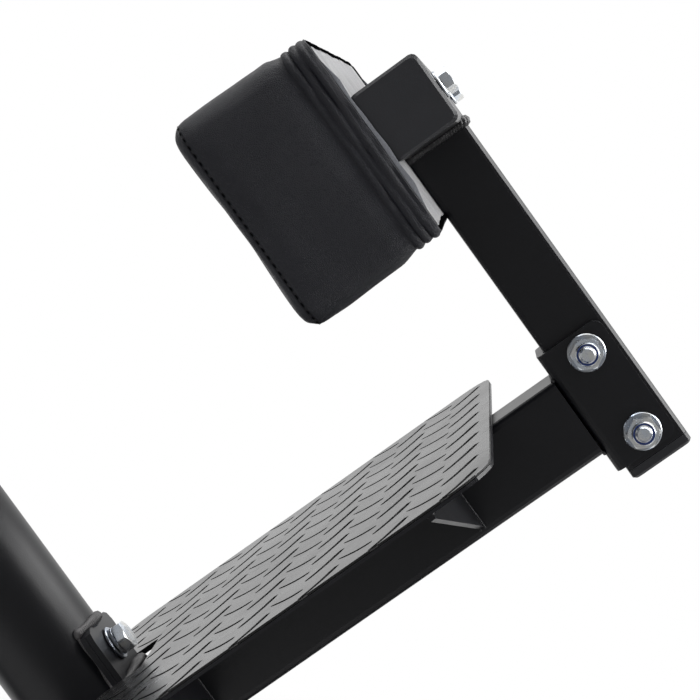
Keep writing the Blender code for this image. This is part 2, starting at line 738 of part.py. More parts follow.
def add_groove(bm, path):
    low = MAT_THICKNESS - TREAD_DEPTH
    high = MAT_THICKNESS + TREAD_DEPTH
    sides = {}
    for i in (1, 2):
        (u, y), before, after = path[i], path[i - 1], path[i + 1]
        run = math.hypot(after[0] - before[0], after[1] - before[1])
        across = (before[1] - after[1]) / run * TREAD_WIDTH, (after[0] - before[0]) / run * TREAD_WIDTH
        for way in (-1, 1):
            sides[i, way] = bm.verts.new((u + way * across[0], y + way * across[1], high))
    ends = [bm.verts.new((*path[i], high)) for i in (0, 3)]
    floor = [bm.verts.new((*path[i], low)) for i in (1, 2)]
    bm.faces.new((ends[0], sides[1, 1], sides[2, 1], ends[1], sides[2, -1], sides[1, -1]))
    for way in (-1, 1):
        near, far = sides[1, way], sides[2, way]
        bm.faces.new((ends[0], near, floor[0]))
        bm.faces.new((near, far, floor[1]))
        bm.faces.new((near, floor[1], floor[0]))
        bm.faces.new((far, ends[1], floor[1]))


def tread_cutter():
    bm = bmesh.new()
    columns = int((PLATE_REAR - PLATE_FRONT) / TREAD_COLUMN) + 2
    rows = int(PLATE_WIDTH / TREAD_PITCH) + 2
    for column in range(columns):
        line = PLATE_REAR - TREAD_REAR - TREAD_COLUMN * (column - 1)
        for row in range(rows):
            start = TREAD_SIDE - PLATE_WIDTH / 2 + TREAD_PITCH * row
            path = groove_path(line, start, TREAD_SLOPES[(column + 1) % 2])
            if path:
                add_groove(bm, path)
    return bm


def make_footplate(frame):
    outline = footplate_outline()
    low = BEAM_TOP + GAP
    add_piece("footplate", plate("z", 0, PLATE_THICKNESS, outline), "powder_coat", frame, (0, 0, low))
    mat_low = low + PLATE_THICKNESS + GAP
    place = (0, 0, mat_low)
    mat = add_piece("tread_mat", plate("z", 0, MAT_THICKNESS, outline), "rubber", frame, place)
    cut(mat, add_cutter("tread_grooves", tread_cutter(), frame, place))


def make_gussets(frame):
    root = BEAM_SIZE / 2 + GAP
    tip = PLATE_WIDTH / 2 - GUSSET_SIDE_INSET
    outline = [(root, 0), (tip, 0), (tip, -GUSSET_TIP), (root, -GUSSET_DEPTH)]
    mirrored = [(-a, b) for a, b in reversed(outline)]
    places = (("rear", PLATE_REAR - GUSSET_REAR_INSET), ("front", PLATE_FRONT + GUSSET_FRONT_INSET))
    for end, place in places:
        for side, points in (("left", mirrored), ("right", outline)):
            add_piece("gusset_" + end + "_" + side,
                      plate("x", -GUSSET_THICKNESS / 2, GUSSET_THICKNESS, points),
                      "powder_coat", frame, (place, 0, BEAM_TOP))


# Mast and flange joint

def floor_level_v(height, along_u):
    # V of the point at this U that lies this high above the floor.
    return (height - DATUM_HEIGHT - SIN_TILT * along_u) / COS_TILT


def floor_level_u(height, along_v):
    return (height - DATUM_HEIGHT - COS_TILT * along_v) / SIN_TILT


def make_mast(frame, ground):
    foot = RAIL_TOP + GAP + BASE_PLATE_THICKNESS / 2
    outer = circle(MAST_RADIUS, MAST_SIDES, (MAST_AXIS_U, 0))
    inner = circle(MAST_RADIUS - MAST_WALL, MAST_SIDES, (MAST_AXIS_U, 0))
    rings = [[(u, y, floor_level_v(foot, u)) for u, y in outer],
             [(u, y, MAST_TOP) for u, y in outer],
             [(u, y, MAST_TOP) for u, y in inner],
             [(u, y, floor_level_v(foot, u)) for u, y in inner]]
    bm = bmesh.new()
    skin(bm, rings, closed=True)
    mast = add_piece("mast_tube", bm, "powder_coat", frame)
    foot_v = floor_level_v(RAIL_TOP, MAST_AXIS_U)
    foot_x = DATUM_X + COS_TILT * MAST_AXIS_U - SIN_TILT * foot_v
    outline = rounded_box(BASE_PLATE_LENGTH, BASE_PLATE_WIDTH, RAIL_CORNER * 2)
    base_plate = prism("z", 0, BASE_PLATE_THICKNESS, outline)
    weld(mast, add_cutter("mast_base_plate", base_plate, ground, (foot_x, 0, RAIL_TOP + GAP)))
    cut(mast, hole_cutter("pin_hole", "y", PIN_RADIUS + SLIDE_GAP, -MAST_RADIUS - MAST_WALL,
                          -MAST_RADIUS + 3 * MAST_WALL, frame, (MAST_AXIS_U, 0, PIN_V)))
    return mast


def make_flange(frame, mast):
    outline = rounded_box(FLANGE_WIDTH, FLANGE_HEIGHT, FLANGE_CORNER, 2)
    holes = [circle(M10_RADIUS + BOLT_GAP, 16, (0, way * FLANGE_BOLT_SPACING / 2))
             for way in (-1, 1)]
    # Both plates sit in a notch in the mast's front, flush with it.
    notch = prism("x", FLANGE_BACK - GAP, FLANGE_FACE + MAST_WALL,
                  rounded_box(3 * MAST_RADIUS, FLANGE_HEIGHT + 2 * GAP, 0))
    cut(mast, add_cutter("flange_notch", notch, frame, (0, 0, BEAM_AXIS_V)))
    seats = (("mast_flange_plate", FLANGE_BACK), ("beam_flange_plate", FLANGE_FACE - FLANGE_THICKNESS))
    for name, place in seats:
        add_piece(name, plate("x", 0, FLANGE_THICKNESS, outline, holes), "powder_coat", frame,
                  (place, 0, BEAM_AXIS_V))
    for level, way in (("upper", 1), ("lower", -1)):
        height = BEAM_AXIS_V + way * FLANGE_BOLT_SPACING / 2
        seat = FLANGE_FACE + GAP
        spring_seat = seat + WASHER_THICKNESS + GAP
        head_seat = spring_seat + SPRING_WASHER + GAP
        add_piece("flange_washer_" + level,
                  washer("x", M10_WASHER, M10_RADIUS + GAP, WASHER_THICKNESS, 1),
                  "zinc", frame, (seat, 0, height))
        add_piece("flange_spring_washer_" + level,
                  washer("x", M10_WASHER * 0.82, M10_RADIUS + GAP, SPRING_WASHER, 1),
                  "zinc", frame, (spring_seat, 0, height))
        length = head_seat - FLANGE_BACK + FLANGE_BOLT_PAST
        add_piece("flange_bolt_" + level, bolt("x", M10_FLATS, M10_HEAD, M10_RADIUS, length, 1),
                  "zinc", frame, (head_seat, 0, height))


# Strut and floor base

def make_strut(frame):
    foot = RAIL_TOP + GAP
    inside = STRUT_SIZE - 2 * RAIL_WALL
    outer = rounded_box(STRUT_SIZE, STRUT_SIZE, BEAM_CORNER)
    inner = rounded_box(inside, inside, BEAM_CORNER / 2)
    rings = []
    for outline, from_floor in ((outer, True), (outer, False), (inner, False), (inner, True)):
        ring = []
        for y, v in outline:
            level = STRUT_AXIS_V + v
            ring.append((floor_level_u(foot, level) if from_floor else MAST_AXIS_U, y, level))
        rings.append(ring)
    bm = bmesh.new()
    skin(bm, rings, closed=True)
    strut = add_piece("front_strut", bm, "powder_coat", frame)
    cope = prism("z", STRUT_AXIS_V - STRUT_SIZE, STRUT_AXIS_V + STRUT_SIZE,
                 circle(MAST_RADIUS + GAP, MAST_SIDES))
    cut(strut, add_cutter("strut_cope", cope, frame, (MAST_AXIS_U, 0, 0)))


def make_base(ground):
    axis_z = CAP_FOOT + RAIL_SIZE / 2
    rail_rear = DATUM_X + REAR_CROSS_X - RAIL_SIZE / 2 - GAP
    rail_front = DATUM_X + FRONT_CROSS_X + RAIL_SIZE / 2 + GAP
    add_piece("base_rail",
              square_tube("x", rail_front - rail_rear, 0, RAIL_SIZE, RAIL_WALL, RAIL_CORNER),
              "powder_coat", ground, (rail_rear, 0, axis_z))
    crosses = (("rear", REAR_CROSS_X, REAR_CROSS_WIDTH), ("front", FRONT_CROSS_X, FRONT_CROSS_WIDTH))
    for end, place, width in crosses:
        half = width / 2
        where = (DATUM_X + place, 0, axis_z)
        cross = add_piece(end + "_cross_tube",
                          square_tube("y", -half, half, RAIL_SIZE, RAIL_WALL, RAIL_CORNER),
                          "powder_coat", ground, where)
        for side, way in (("left", -1), ("right", 1)):
            add_piece("foot_cap_" + end + "_" + side, foot_cap_solid(way), "rubber", ground,
                      (where[0], way * half, axis_z))
    return cross


def foot_cap_solid(way):
    # The tube's end is at 0 and its middle on the axis; the foot is thicker below.
    snug = RAIL_SIZE + 2 * GAP
    pocket = rounded_box(snug, snug, RAIL_CORNER)
    width = snug + 2 * CAP_WALL
    height = RAIL_SIZE / 2 + GAP + CAP_WALL + RAIL_SIZE / 2 + CAP_FOOT
    centre = (0, RAIL_SIZE / 2 + GAP + CAP_WALL - height / 2)
    outer = rounded_box(width, height, RAIL_CORNER + CAP_WALL / 2, CORNER_STEPS, centre)
    small = rounded_box(width - CAP_WALL, height - CAP_WALL, RAIL_CORNER, CORNER_STEPS, centre)
    stations = [(GAP, pocket), (-CAP_LENGTH, pocket), (-CAP_LENGTH, outer),
                (CAP_END - CAP_WALL / 2, outer), (CAP_END, small)]
    bm = bmesh.new()
    skin(bm, sections("y", [(way * at, outline) for at, outline in stations]))
    return bm


# Transport wheels

def make_wheels(ground, cross):
    axle_z = WHEEL_RADIUS + WHEEL_LIFT
    axle_x = DATUM_X + AXLE_X
    ear_inner = WHEEL_WIDTH / 2 + WHEEL_SIDE_GAP
    ear_outer = ear_inner + EAR_THICKNESS
    for side, way in (("left", -1), ("right", 1)):
        pivot = add_empty("wheel_pivot_" + side, ground, (axle_x, way * WHEEL_SPREAD / 2, axle_z))
        add_piece("wheel_" + side, wheel_solid(), "rubber", pivot)
        add_piece("wheel_axle_" + side, axle_solid(ear_outer), "zinc", pivot)
        bracket = bracket_blank(ear_outer)
        slot = prism("y", -ear_inner, ear_inner,
                     rounded_box(2 * (WHEEL_REACH - EAR_THICKNESS), 4 * RAIL_SIZE, EAR_THICKNESS / 2))
        hole = prism("y", -2 * ear_outer, 2 * ear_outer, circle(AXLE_RADIUS + GAP, 20))
        weld(cross, add_cutter("wheel_bracket_" + side, bracket, pivot))
        cut(cross, add_cutter("wheel_slot_" + side, slot, pivot),
            add_cutter("axle_hole_" + side, hole, pivot))


def bracket_blank(ear_outer):
    face = WHEEL_REACH + RAIL_WALL / 2
    low = CAP_FOOT + EAR_THICKNESS - WHEEL_RADIUS - WHEEL_LIFT
    high = low + 0.7 * RAIL_SIZE
    outline = [(face, low), (face, high), (face - EAR_THICKNESS, high)]
    outline += arc((0, 0), EAR_RADIUS, 80, 270, 8)
    return prism("y", -ear_outer, ear_outer, outline)


def wheel_solid():
    half = WHEEL_WIDTH / 2
    bore = AXLE_RADIUS + SLIDE_GAP
    profile = [(-half, bore), (-half, 0.30 * WHEEL_RADIUS), (-0.6 * half, 0.36 * WHEEL_RADIUS),
               (-0.6 * half, 0.72 * WHEEL_RADIUS), (-half, 0.78 * WHEEL_RADIUS),
               (-half, 0.93 * WHEEL_RADIUS), (-0.8 * half, WHEEL_RADIUS)]
    mirrored = [(-distance, radius) for distance, radius in reversed(profile)]
    return turned("y", profile + mirrored, WHEEL_SIDES, closed=True)


def axle_solid(ear_outer):
    seat = ear_outer + GAP
    half = [(seat, AXLE_RADIUS), (seat, AXLE_HEAD_RADIUS), (seat + 0.6 * AXLE_HEAD, AXLE_HEAD_RADIUS),
            (seat + AXLE_HEAD, 0.6 * AXLE_HEAD_RADIUS)]
    other = [(-distance, radius) for distance, radius in reversed(half)]
    return turned("y", other + half, HOLE_SIDES)


# Collar, pull-pin and carriage

def make_collar(frame):
    sleeve = MAST_RADIUS - MAST_WALL - GAP
    rim = MAST_RADIUS + COLLAR_RIM
    low = MAST_TOP + GAP
    profile = [(low - COLLAR_DEPTH, COLLAR_BORE), (low - COLLAR_DEPTH, sleeve), (low, sleeve),
               (low, rim), (COLLAR_TOP - 0.003, rim), (COLLAR_TOP, rim - 0.003),
               (COLLAR_TOP, COLLAR_BORE + 0.001), (COLLAR_TOP - 0.001, COLLAR_BORE)]
    collar = add_piece("mast_collar", turned("z", profile, MAST_SIDES, closed=True), "plastic", frame,
                       (MAST_AXIS_U, 0, 0))
    cut(collar, hole_cutter("collar_pin_hole", "y", PIN_RADIUS + SLIDE_GAP, -MAST_RADIUS - MAST_WALL,
                            -MAST_RADIUS + 3 * MAST_WALL, frame, (MAST_AXIS_U, 0, PIN_V)))


def make_pull_pin(frame):
    pivot = add_empty("pin_axis", frame, (MAST_AXIS_U, 0, PIN_V))
    inner_end = -(MAST_RADIUS - 2 * MAST_WALL)
    stations = [
        (inner_end, circle(HOUSING_BORE, BOLT_SIDES)),
        (inner_end, circle(HOUSING_RADIUS, BOLT_SIDES)),
        (-HOUSING_INNER - 0.45 * HOUSING_LENGTH, circle(HOUSING_RADIUS, BOLT_SIDES)),
        (-HOUSING_INNER - 0.45 * HOUSING_LENGTH, hexagon(HOUSING_FLATS)),
        (-HOUSING_INNER - 0.80 * HOUSING_LENGTH, hexagon(HOUSING_FLATS)),
        (-HOUSING_INNER - 0.80 * HOUSING_LENGTH, circle(HOUSING_RADIUS * 0.86, BOLT_SIDES)),
        (-HOUSING_OUTER, circle(HOUSING_RADIUS * 0.80, BOLT_SIDES)),
        (-HOUSING_OUTER, circle(PIN_RADIUS + SLIDE_GAP, BOLT_SIDES)),
        (-HOUSING_OUTER + HOUSING_END, circle(PIN_RADIUS + SLIDE_GAP, BOLT_SIDES)),
        (-HOUSING_OUTER + HOUSING_END, circle(HOUSING_BORE, BOLT_SIDES)),
    ]
    bm = bmesh.new()
    skin(bm, sections("y", stations), closed=True)
    housing = add_piece("pin_housing", bm, "zinc", pivot)
    cope = prism("z", -2 * HOUSING_RADIUS, 2 * HOUSING_RADIUS, circle(MAST_RADIUS + GAP, MAST_SIDES))
    cut(housing, add_cutter("housing_cope", cope, pivot))
    collar_outer = PIN_COLLAR_INNER + PIN_COLLAR
    rod = [(PIN_TIP, 0.6 * PIN_RADIUS), (PIN_TIP + 0.003, PIN_RADIUS),
           (PIN_COLLAR_INNER, PIN_RADIUS), (PIN_COLLAR_INNER, PIN_COLLAR_RADIUS),
           (collar_outer, PIN_COLLAR_RADIUS), (collar_outer, PIN_RADIUS), (KNOB_INNER, PIN_RADIUS),
           (KNOB_INNER, 0.62 * KNOB_RADIUS), (KNOB_INNER + 0.45 * KNOB_LENGTH, 0.70 * KNOB_RADIUS),
           (KNOB_INNER + 0.62 * KNOB_LENGTH, KNOB_RADIUS), (KNOB_INNER + 0.9 * KNOB_LENGTH, KNOB_RADIUS),
           (KNOB_INNER + KNOB_LENGTH, 0.82 * KNOB_RADIUS)]
    add_piece("pull_pin", turned("y", [(-at, radius) for at, radius in rod], BOLT_SIDES),
              "plastic", pivot)
    spring_start = collar_outer + GAP
    spring_end = HOUSING_OUTER - HOUSING_END - GAP
    add_piece("pin_spring", spring_solid(spring_start, spring_end), "spring_steel", pivot)


def spring_solid(start, end):
    # A helix about the y axis, one unbroken wire.
    mean = (PIN_RADIUS + HOUSING_BORE) / 2
    turn_steps = 10
    steps = turn_steps * SPRING_TURNS
    rise = end - start - 2 * SPRING_WIRE
    rings = []
    for i in range(steps + 1):
        angle = 2 * math.pi * i / turn_steps
        out = Vector((math.cos(angle), 0, math.sin(angle)))
        middle = mean * out - Vector((0, start + SPRING_WIRE + rise * i / steps, 0))
        ring = []
        for j in range(5):
            turn = 2 * math.pi * j / 5
            ring.append(middle + SPRING_WIRE * (math.cos(turn) * out
                                                + math.sin(turn) * Vector((0, 1, 0))))
        rings.append(ring)
    bm = bmesh.new()
    skin(bm, rings)
    return bm


def make_carriage(frame):
    slide = add_empty("carriage_slide", frame, (MAST_AXIS_U, 0, 0))
    # The tube's head is closed by a welded disc, its foot is open.
    bore = INNER_RADIUS - INNER_WALL
    wall = [(INNER_TOP - INNER_WALL, bore), (INNER_TOP - INNER_LENGTH, bore),
            (INNER_TOP - INNER_LENGTH, INNER_RADIUS), (INNER_TOP - INNER_WALL / 2, INNER_RADIUS),
            (INNER_TOP, INNER_RADIUS - INNER_WALL / 2)]
    tube = add_piece("inner_tube", turned("z", wall, MAST_SIDES), "chrome", slide)
    for step in range(-HOLES_BELOW, HOLES_ABOVE + 1):
        hole = hole_cutter("height_hole_" + str(step + HOLES_BELOW + 1), "y", HOLE_RADIUS,
                           -INNER_RADIUS - INNER_WALL, -INNER_RADIUS + 3 * INNER_WALL, slide,
                           (0, 0, PIN_V + step * HOLE_PITCH))
        cut(tube, hole)
    make_pad_frame(slide)
    make_hip_pads(slide)
    make_handle(slide)


def make_pad_frame(slide):
    # In the slide's frame, U is measured from the mast's axis.
    back = PAD_FRAME_BACK
    rib_root = INNER_RADIUS * 0.7
    bm = plate("x", back, PAD_FRAME_THICKNESS,
               rounded_box(PAD_FRAME_WIDTH, PAD_FRAME_HEIGHT, PAD_FRAME_CORNER))
    middle_v = PAD_FRAME_MIDDLE_V
    frame_plate = add_piece("pad_frame", bm, "powder_coat", slide, (0, 0, middle_v))
    taper = PAD_FRAME_HEIGHT / 2
    tip = back + PAD_FRAME_THICKNESS / 2
    outline = [(rib_root, -taper + RIB_TAPER), (tip, -taper + RIB_INSET),
               (tip, taper - RIB_INSET), (rib_root, taper - RIB_TAPER)]
    for side, way in (("left", -1), ("right", 1)):
        rib = prism("y", way * RIB_SPREAD / 2 - RIB_THICKNESS / 2,
                    way * RIB_SPREAD / 2 + RIB_THICKNESS / 2, outline)
        weld(frame_plate, add_cutter("pad_rib_" + side, rib, slide, (0, 0, middle_v)))
    cope = prism("z", -PAD_FRAME_HEIGHT, PAD_FRAME_HEIGHT, circle(INNER_RADIUS + GAP, MAST_SIDES))
    cut(frame_plate, add_cutter("pad_frame_cope", cope, slide, (0, 0, middle_v)))


def make_hip_pads(slide):
    back = HIP_BACK
    middle_v = PAD_FRAME_MIDDLE_V + HIP_RISE
    middle_y = (HIP_SPLIT + HIP_WIDTH) / 2
    for side, way in (("left", -1), ("right", 1)):
        cushion = cushion_solid(HIP_WIDTH, HIP_HEIGHT, HIP_FOAM, HIP_CROWN, HIP_CORNER,
                                HIP_BOARD + GAP, 1)
        add_piece("hip_cushion_" + side, cushion, "vinyl", slide, (back, way * middle_y, middle_v))
        board = board_solid(HIP_WIDTH, HIP_HEIGHT, HIP_BOARD, HIP_CORNER, (), 1)
        add_piece("hip_board_" + side, board, "plywood", slide, (back, way * middle_y, middle_v))


def handle_path():
    # Half of the bar, from the middle of its back to its end, as (u, y) and heading in degrees.
    back = BAR_BACK
    half = BAR_HALF
    points = [((back, 0.0), 90.0)]
    for step in range(6):
        heading = 90.0 - 18.0 * step
        angle = math.radians(heading)
        middle = (back + BAR_BEND, half - BAR_BEND)
        place = (middle[0] - BAR_BEND * math.sin(angle), middle[1] + BAR_BEND * math.cos(angle))
        points.append((place, heading))
    points.append(((BAR_END, half), 0.0))
    return points


def bar_rings(radius):
    half = handle_path()
    mirrored = [((u, -y), 180.0 - heading) for (u, y), heading in reversed(half[1:])]
    rings = []
    for (u, y), heading in mirrored + half:
        angle = math.radians(heading)
        across = Vector((-math.sin(angle), math.cos(angle), 0))
        ring = []
        for a, b in circle(radius, BAR_SIDES):
            ring.append(Vector((u, y, 0)) + a * across + Vector((0, 0, b)))
        rings.append(ring)
    return rings


def make_handle(slide):
    bm = bmesh.new()
    skin(bm, bar_rings(BAR_RADIUS) + bar_rings(BAR_RADIUS - BAR_WALL)[::-1], closed=True)
    add_piece("handle_bar", bm, "powder_coat", slide, (0, 0, BAR_V))
    for side, way in (("left", -1), ("right", 1)):
        add_piece("grip_" + side, grip_solid(), "rubber", slide,
                  (BAR_END, way * BAR_HALF, BAR_V))


def grip_solid():
    # The bar's end is at 0; the grip is closed past it.
    bore = BAR_RADIUS + GAP
    outer = BAR_RADIUS + GRIP_WALL
    profile = [(GAP, bore), (-GRIP_LENGTH, bore), (-GRIP_LENGTH, outer + 0.002),
               (-GRIP_LENGTH + 0.004, outer + 0.002)]
    pitch = (GRIP_LENGTH - 0.010) / GRIP_RIBS
    for rib in range(GRIP_RIBS):
        start = -GRIP_LENGTH + 0.006 + pitch * rib
        profile += [(start, outer - GRIP_RIB_DEPTH), (start + 0.3 * pitch, outer),
                    (start + 0.8 * pitch, outer)]
    profile += [(GRIP_END - 0.002, outer), (GRIP_END, outer - 0.003)]
    return turned("x", profile, BOLT_SIDES)


def build():
    clear_scene()
    ground = add_empty("base_frame")
    tilted = add_empty("tilted_frame", ground, (DATUM_X, 0, DATUM_HEIGHT), -math.radians(TILT_DEG))
    post = make_post(tilted)
    make_bracket(tilted, post)
    make_cross_tube(tilted)
    make_calf_pad(tilted)
    make_foot_beam(tilted)
    make_footplate(tilted)
    make_gussets(tilted)
    mast = make_mast(tilted, ground)
    make_flange(tilted, mast)
    make_strut(tilted)
    front_cross = make_base(ground)
    make_wheels(ground, front_cross)
    make_collar(tilted)
    make_pull_pin(tilted)
    make_carriage(tilted)


build()
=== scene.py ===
import math

import bmesh
import bpy
from mathutils import Matrix, Vector
from mathutils.bvhtree import BVHTree


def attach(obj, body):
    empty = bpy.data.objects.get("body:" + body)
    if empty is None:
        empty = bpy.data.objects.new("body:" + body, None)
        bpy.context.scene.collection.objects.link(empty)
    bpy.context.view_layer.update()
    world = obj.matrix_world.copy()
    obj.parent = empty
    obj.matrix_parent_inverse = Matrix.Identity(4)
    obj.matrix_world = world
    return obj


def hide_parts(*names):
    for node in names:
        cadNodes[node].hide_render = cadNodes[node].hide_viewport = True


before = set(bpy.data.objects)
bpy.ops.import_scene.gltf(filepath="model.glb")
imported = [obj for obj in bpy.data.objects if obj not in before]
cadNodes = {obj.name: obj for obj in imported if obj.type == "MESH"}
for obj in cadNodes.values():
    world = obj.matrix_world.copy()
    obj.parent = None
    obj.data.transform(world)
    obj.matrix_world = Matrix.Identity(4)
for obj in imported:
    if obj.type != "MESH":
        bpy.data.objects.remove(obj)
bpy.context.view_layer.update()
print("frame loaded:", len(cadNodes), "nodes")

# The foot beam and the mast stand in a frame that is tilted about y:
# u runs up and back along the beam, v up and forward along the mast.
bench = {"tilt": 35.0, "x": 0.46035, "z": 0.490}
tilt = math.radians(bench["tilt"])
cosTilt, sinTilt = math.cos(tilt), math.sin(tilt)
benchFrame = Matrix((
    (cosTilt, 0.0, -sinTilt, bench["x"]),
    (0.0, 1.0, 0.0, 0.0),
    (sinTilt, 0.0, cosTilt, bench["z"]),
    (0.0, 0.0, 0.0, 1.0)))
floorFrame = Matrix.Identity(4)


def inBench(name):
    # The CAD node's points in the bench's tilted frame.
    back = benchFrame.inverted()
    return [back @ vert.co for vert in cadNodes[name].data.vertices]


def cornersOf(places):
    return [Vector([pick(p[i] for p in places) for i in range(3)]) for pick in (min, max)]


def spanOf(name):
    # A node's low and high corners, along the bench's tilted axes.
    return cornersOf(inBench(name))


def floorSpan(name):
    # The same along the floor's axes.
    return cornersOf([vert.co for vert in cadNodes[name].data.vertices])


class Net:
    # Short calls for one node tree. A value is a number, a tuple or another node's output.
    def __init__(self, tree, material=None):
        self.tree, self.material = tree, material

    def feed(self, value, socket):
        if isinstance(value, bpy.types.NodeSocket):
            self.tree.links.new(value, socket)
        else:
            socket.default_value = value

    def add(self, kind, *values, **named):
        node = self.tree.nodes.new("ShaderNode" + kind)
        for name, value in named.items():
            label = name.replace("_", " ")
            if label in node.inputs:
                self.feed(value, node.inputs[label])
            else:
                setattr(node, name, value)
        for value, socket in zip(values, node.inputs):
            self.feed(value, socket)
        return node

    def math(self, operation, *values, clamp=False):
        return self.add("Math", *values, operation=operation, use_clamp=clamp).outputs[0]

    def dot(self, *values):
        return self.add("VectorMath", *values, operation="DOT_PRODUCT").outputs["Value"]

    def spread(self, value, low, high, toLow=0.0, toHigh=1.0):
        return self.add("MapRange", value, low, high, toLow, toHigh,
                        interpolation_type="SMOOTHSTEP").outputs[0]

    def noise(self, place, scale, detail=3.0, roughness=0.55):
        return self.add("TexNoise", Vector=place, Scale=scale, Detail=detail,
                        Roughness=roughness).outputs["Fac"]

    def coords(self, kind="Object"):
        return self.add("TexCoord").outputs[kind]

    def place(self, turned=False, stretch=(1, 1, 1)):
        return self.add("Mapping", vector_type="POINT", Vector=self.coords(),
                        Rotation=(0, tilt if turned else 0, 0), Scale=stretch).outputs["Vector"]

    def normal(self):
        return self.add("NewGeometry").outputs["Normal"]

    def split(self, vector):
        return self.add("SeparateXYZ", vector).outputs

    def mix(self, factor, first, second):
        node = self.add("Mix", factor, data_type="RGBA")
        for value, place in ((first, 6), (second, 7)):
            self.feed((*value, 1.0) if isinstance(value, tuple) else value, node.inputs[place])
        return node.outputs[2]

    def level(self, factor, first, second):
        node = self.add("Mix", factor, data_type="FLOAT")
        self.feed(first, node.inputs[2])
        self.feed(second, node.inputs[3])
        return node.outputs[0]

    def bump(self, height, distance):
        return self.add("Bump", Strength=1.0, Distance=distance, Height=height).outputs[0]

    def group(self, name, **values):
        return self.add("Group", node_tree=groups[name], **values).outputs

    def shade(self, **values):
        shader = self.tree.nodes["Principled BSDF"]
        for label, value in values.items():
            self.feed(value, shader.inputs[label.replace("_", " ")])
        return self.material

    def dust(self, amount):
        return self.group("restingDust", Amount=amount)["Mask"]


# Shared effects: each fills one node group and gives its outputs
def paintSkin(net, given):
    # Orange peel and cloudy sheen of a powder coat, and its corners lightened in patches: partly wear, partly
    # a painted highlight where the corners catch the light.
    place = net.place()
    bevel = net.add("Bevel", samples=4, Radius=0.0011).outputs[0]
    corner = net.spread(net.dot(bevel, net.normal()), 0.995, 0.90)
    patch = net.spread(net.noise(place, 60.0, 5.0, 0.65), 0.38, 0.66)
    edge = net.math("MULTIPLY", corner, patch)
    peel = net.noise(place, given["Peel"], 2.0, 0.5)
    return {"Tone": net.noise(place, 9.0, 4.0), "Edge": net.math("MULTIPLY", edge, given["Wear"]),
            "Height": net.math("MULTIPLY_ADD", net.noise(place, 2600.0, 1.0), 0.25, peel)}


def leatherGrain(net, given):
    # Pebbled grain of coated cloth, with soft creases across it.
    place = net.place()
    cells = net.add("TexVoronoi", feature="DISTANCE_TO_EDGE", Vector=place, Scale=given["Pebbles"])
    pebble = net.spread(cells.outputs["Distance"], 0.0, 0.22)
    crease = net.spread(net.noise(place, 32.0, 5.0, 0.6), 0.35, 0.7)
    coarse = net.math("MULTIPLY_ADD", crease, 0.6, pebble)
    return {"Height": net.math("MULTIPLY_ADD", net.noise(place, 2400.0, 2.0), 0.3, coarse),
            "Tone": net.math("MULTIPLY", crease, pebble)}


def restingDust(net, given):
    # Fine dust that lies on what faces up.
    up = net.spread(net.split(net.normal())["Z"], 0.25, 0.95)
    specks = net.spread(net.noise(net.place(), 420.0, 6.0, 0.7), 0.5, 0.72)
    film = net.math("MULTIPLY", up, net.math("MULTIPLY_ADD", specks, 0.7, 0.3))
    return {"Mask": net.math("MULTIPLY", film, given["Amount"])}


def metalMarks(net, given):
    # Drawing lines, spots and a cast in plated metal.
    place = net.place()
    return {"Tone": net.noise(place, 120.0, 4.0),
            "Spots": net.spread(net.noise(place, 700.0, 4.0), 0.55, 0.8),
            "Height": net.noise(net.place(True, (0.12, 1.0, 1.0)), given["Lines"], 3.0, 0.5)}


def panelSeam(net, given):
    # A groove where a piece crosses a plane: Along is the plane's normal, Offset its place.
    axis = net.add("CombineXYZ", given["AlongX"], given["AlongY"], given["AlongZ"]).outputs[0]
    off = net.math("ABSOLUTE", net.math("SUBTRACT", net.dot(net.coords(), axis), given["Offset"]))
    share = net.math("DIVIDE", off, given["Width"], clamp=True)
    return {"Groove": net.spread(share, 0.0, 1.0, 1.0, 0.0)}


def makeGroup(build, inputs):
    tree = bpy.data.node_groups.new(build.__name__, "ShaderNodeTree")

    def addSocket(label, way):
        return tree.interface.new_socket(label, in_out=way, socket_type="NodeSocketFloat")

    for label, value in inputs.items():
        addSocket(label, "INPUT").default_value = value
    net = Net(tree)
    made = build(net, tree.nodes.new("NodeGroupInput").outputs)
    for label in made:
        addSocket(label, "OUTPUT")
    out = tree.nodes.new("NodeGroupOutput").inputs
    for label, value in made.items():
        net.feed(value, out[label])
    return tree


groups = {build.__name__: makeGroup(build, inputs) for build, inputs in (
    (paintSkin, {"Peel": 900.0, "Wear": 0.5}), (leatherGrain, {"Pebbles": 900.0}),
    (restingDust, {"Amount": 0.2}), (metalMarks, {"Lines": 300.0}),
    (panelSeam, {"AlongX": 1.0, "AlongY": 0.0, "AlongZ": 0.0, "Offset": 0.0, "Width": 0.001}))}
print("shared effects ready")

# Materials
greyDust = (0.22, 0.215, 0.21)
treadFloor = {"below": 0.0008, "width": 0.00065}


def startMaterial(name, **values):
    material = bpy.data.materials.new(name)
    material.use_nodes = True
    net = Net(material.node_tree, material)
    net.shade(**values)
    return net


def makePaint(name, dark, light, edge, rough, peel, wear, bump, dust, specular):
    net = startMaterial(name, Specular_IOR_Level=specular)
    skin = net.group("paintSkin", Peel=peel, Wear=wear)
    film = net.dust(dust)
    # Corners are mixed towards the edge colour: partly wear, partly a painted highlight.
    wornAndHighlit = net.mix(skin["Edge"], net.mix(skin["Tone"], dark, light), edge)
    clean = net.spread(skin["Tone"], 0.3, 0.7, rough - 0.04, rough + 0.04)
    return net.shade(Base_Color=net.mix(film, wornAndHighlit, greyDust),
                     Roughness=net.math("MULTIPLY_ADD", film, 0.3, clean),
                     Normal=net.bump(skin["Height"], bump))


def makeMetal(name, cool, warm, dull, spots, rough, lines, bump):
    net = startMaterial(name, Metallic=1.0)
    marks = net.group("metalMarks", Lines=lines)
    cast = net.mix(net.spread(marks["Tone"], 0.35, 0.65), cool, warm)
    return net.shade(Base_Color=net.mix(net.math("MULTIPLY", marks["Spots"], spots), cast, dull),
                     Roughness=net.spread(marks["Tone"], 0.3, 0.7, rough - 0.05, rough + 0.06),
                     Normal=net.bump(marks["Height"], bump))


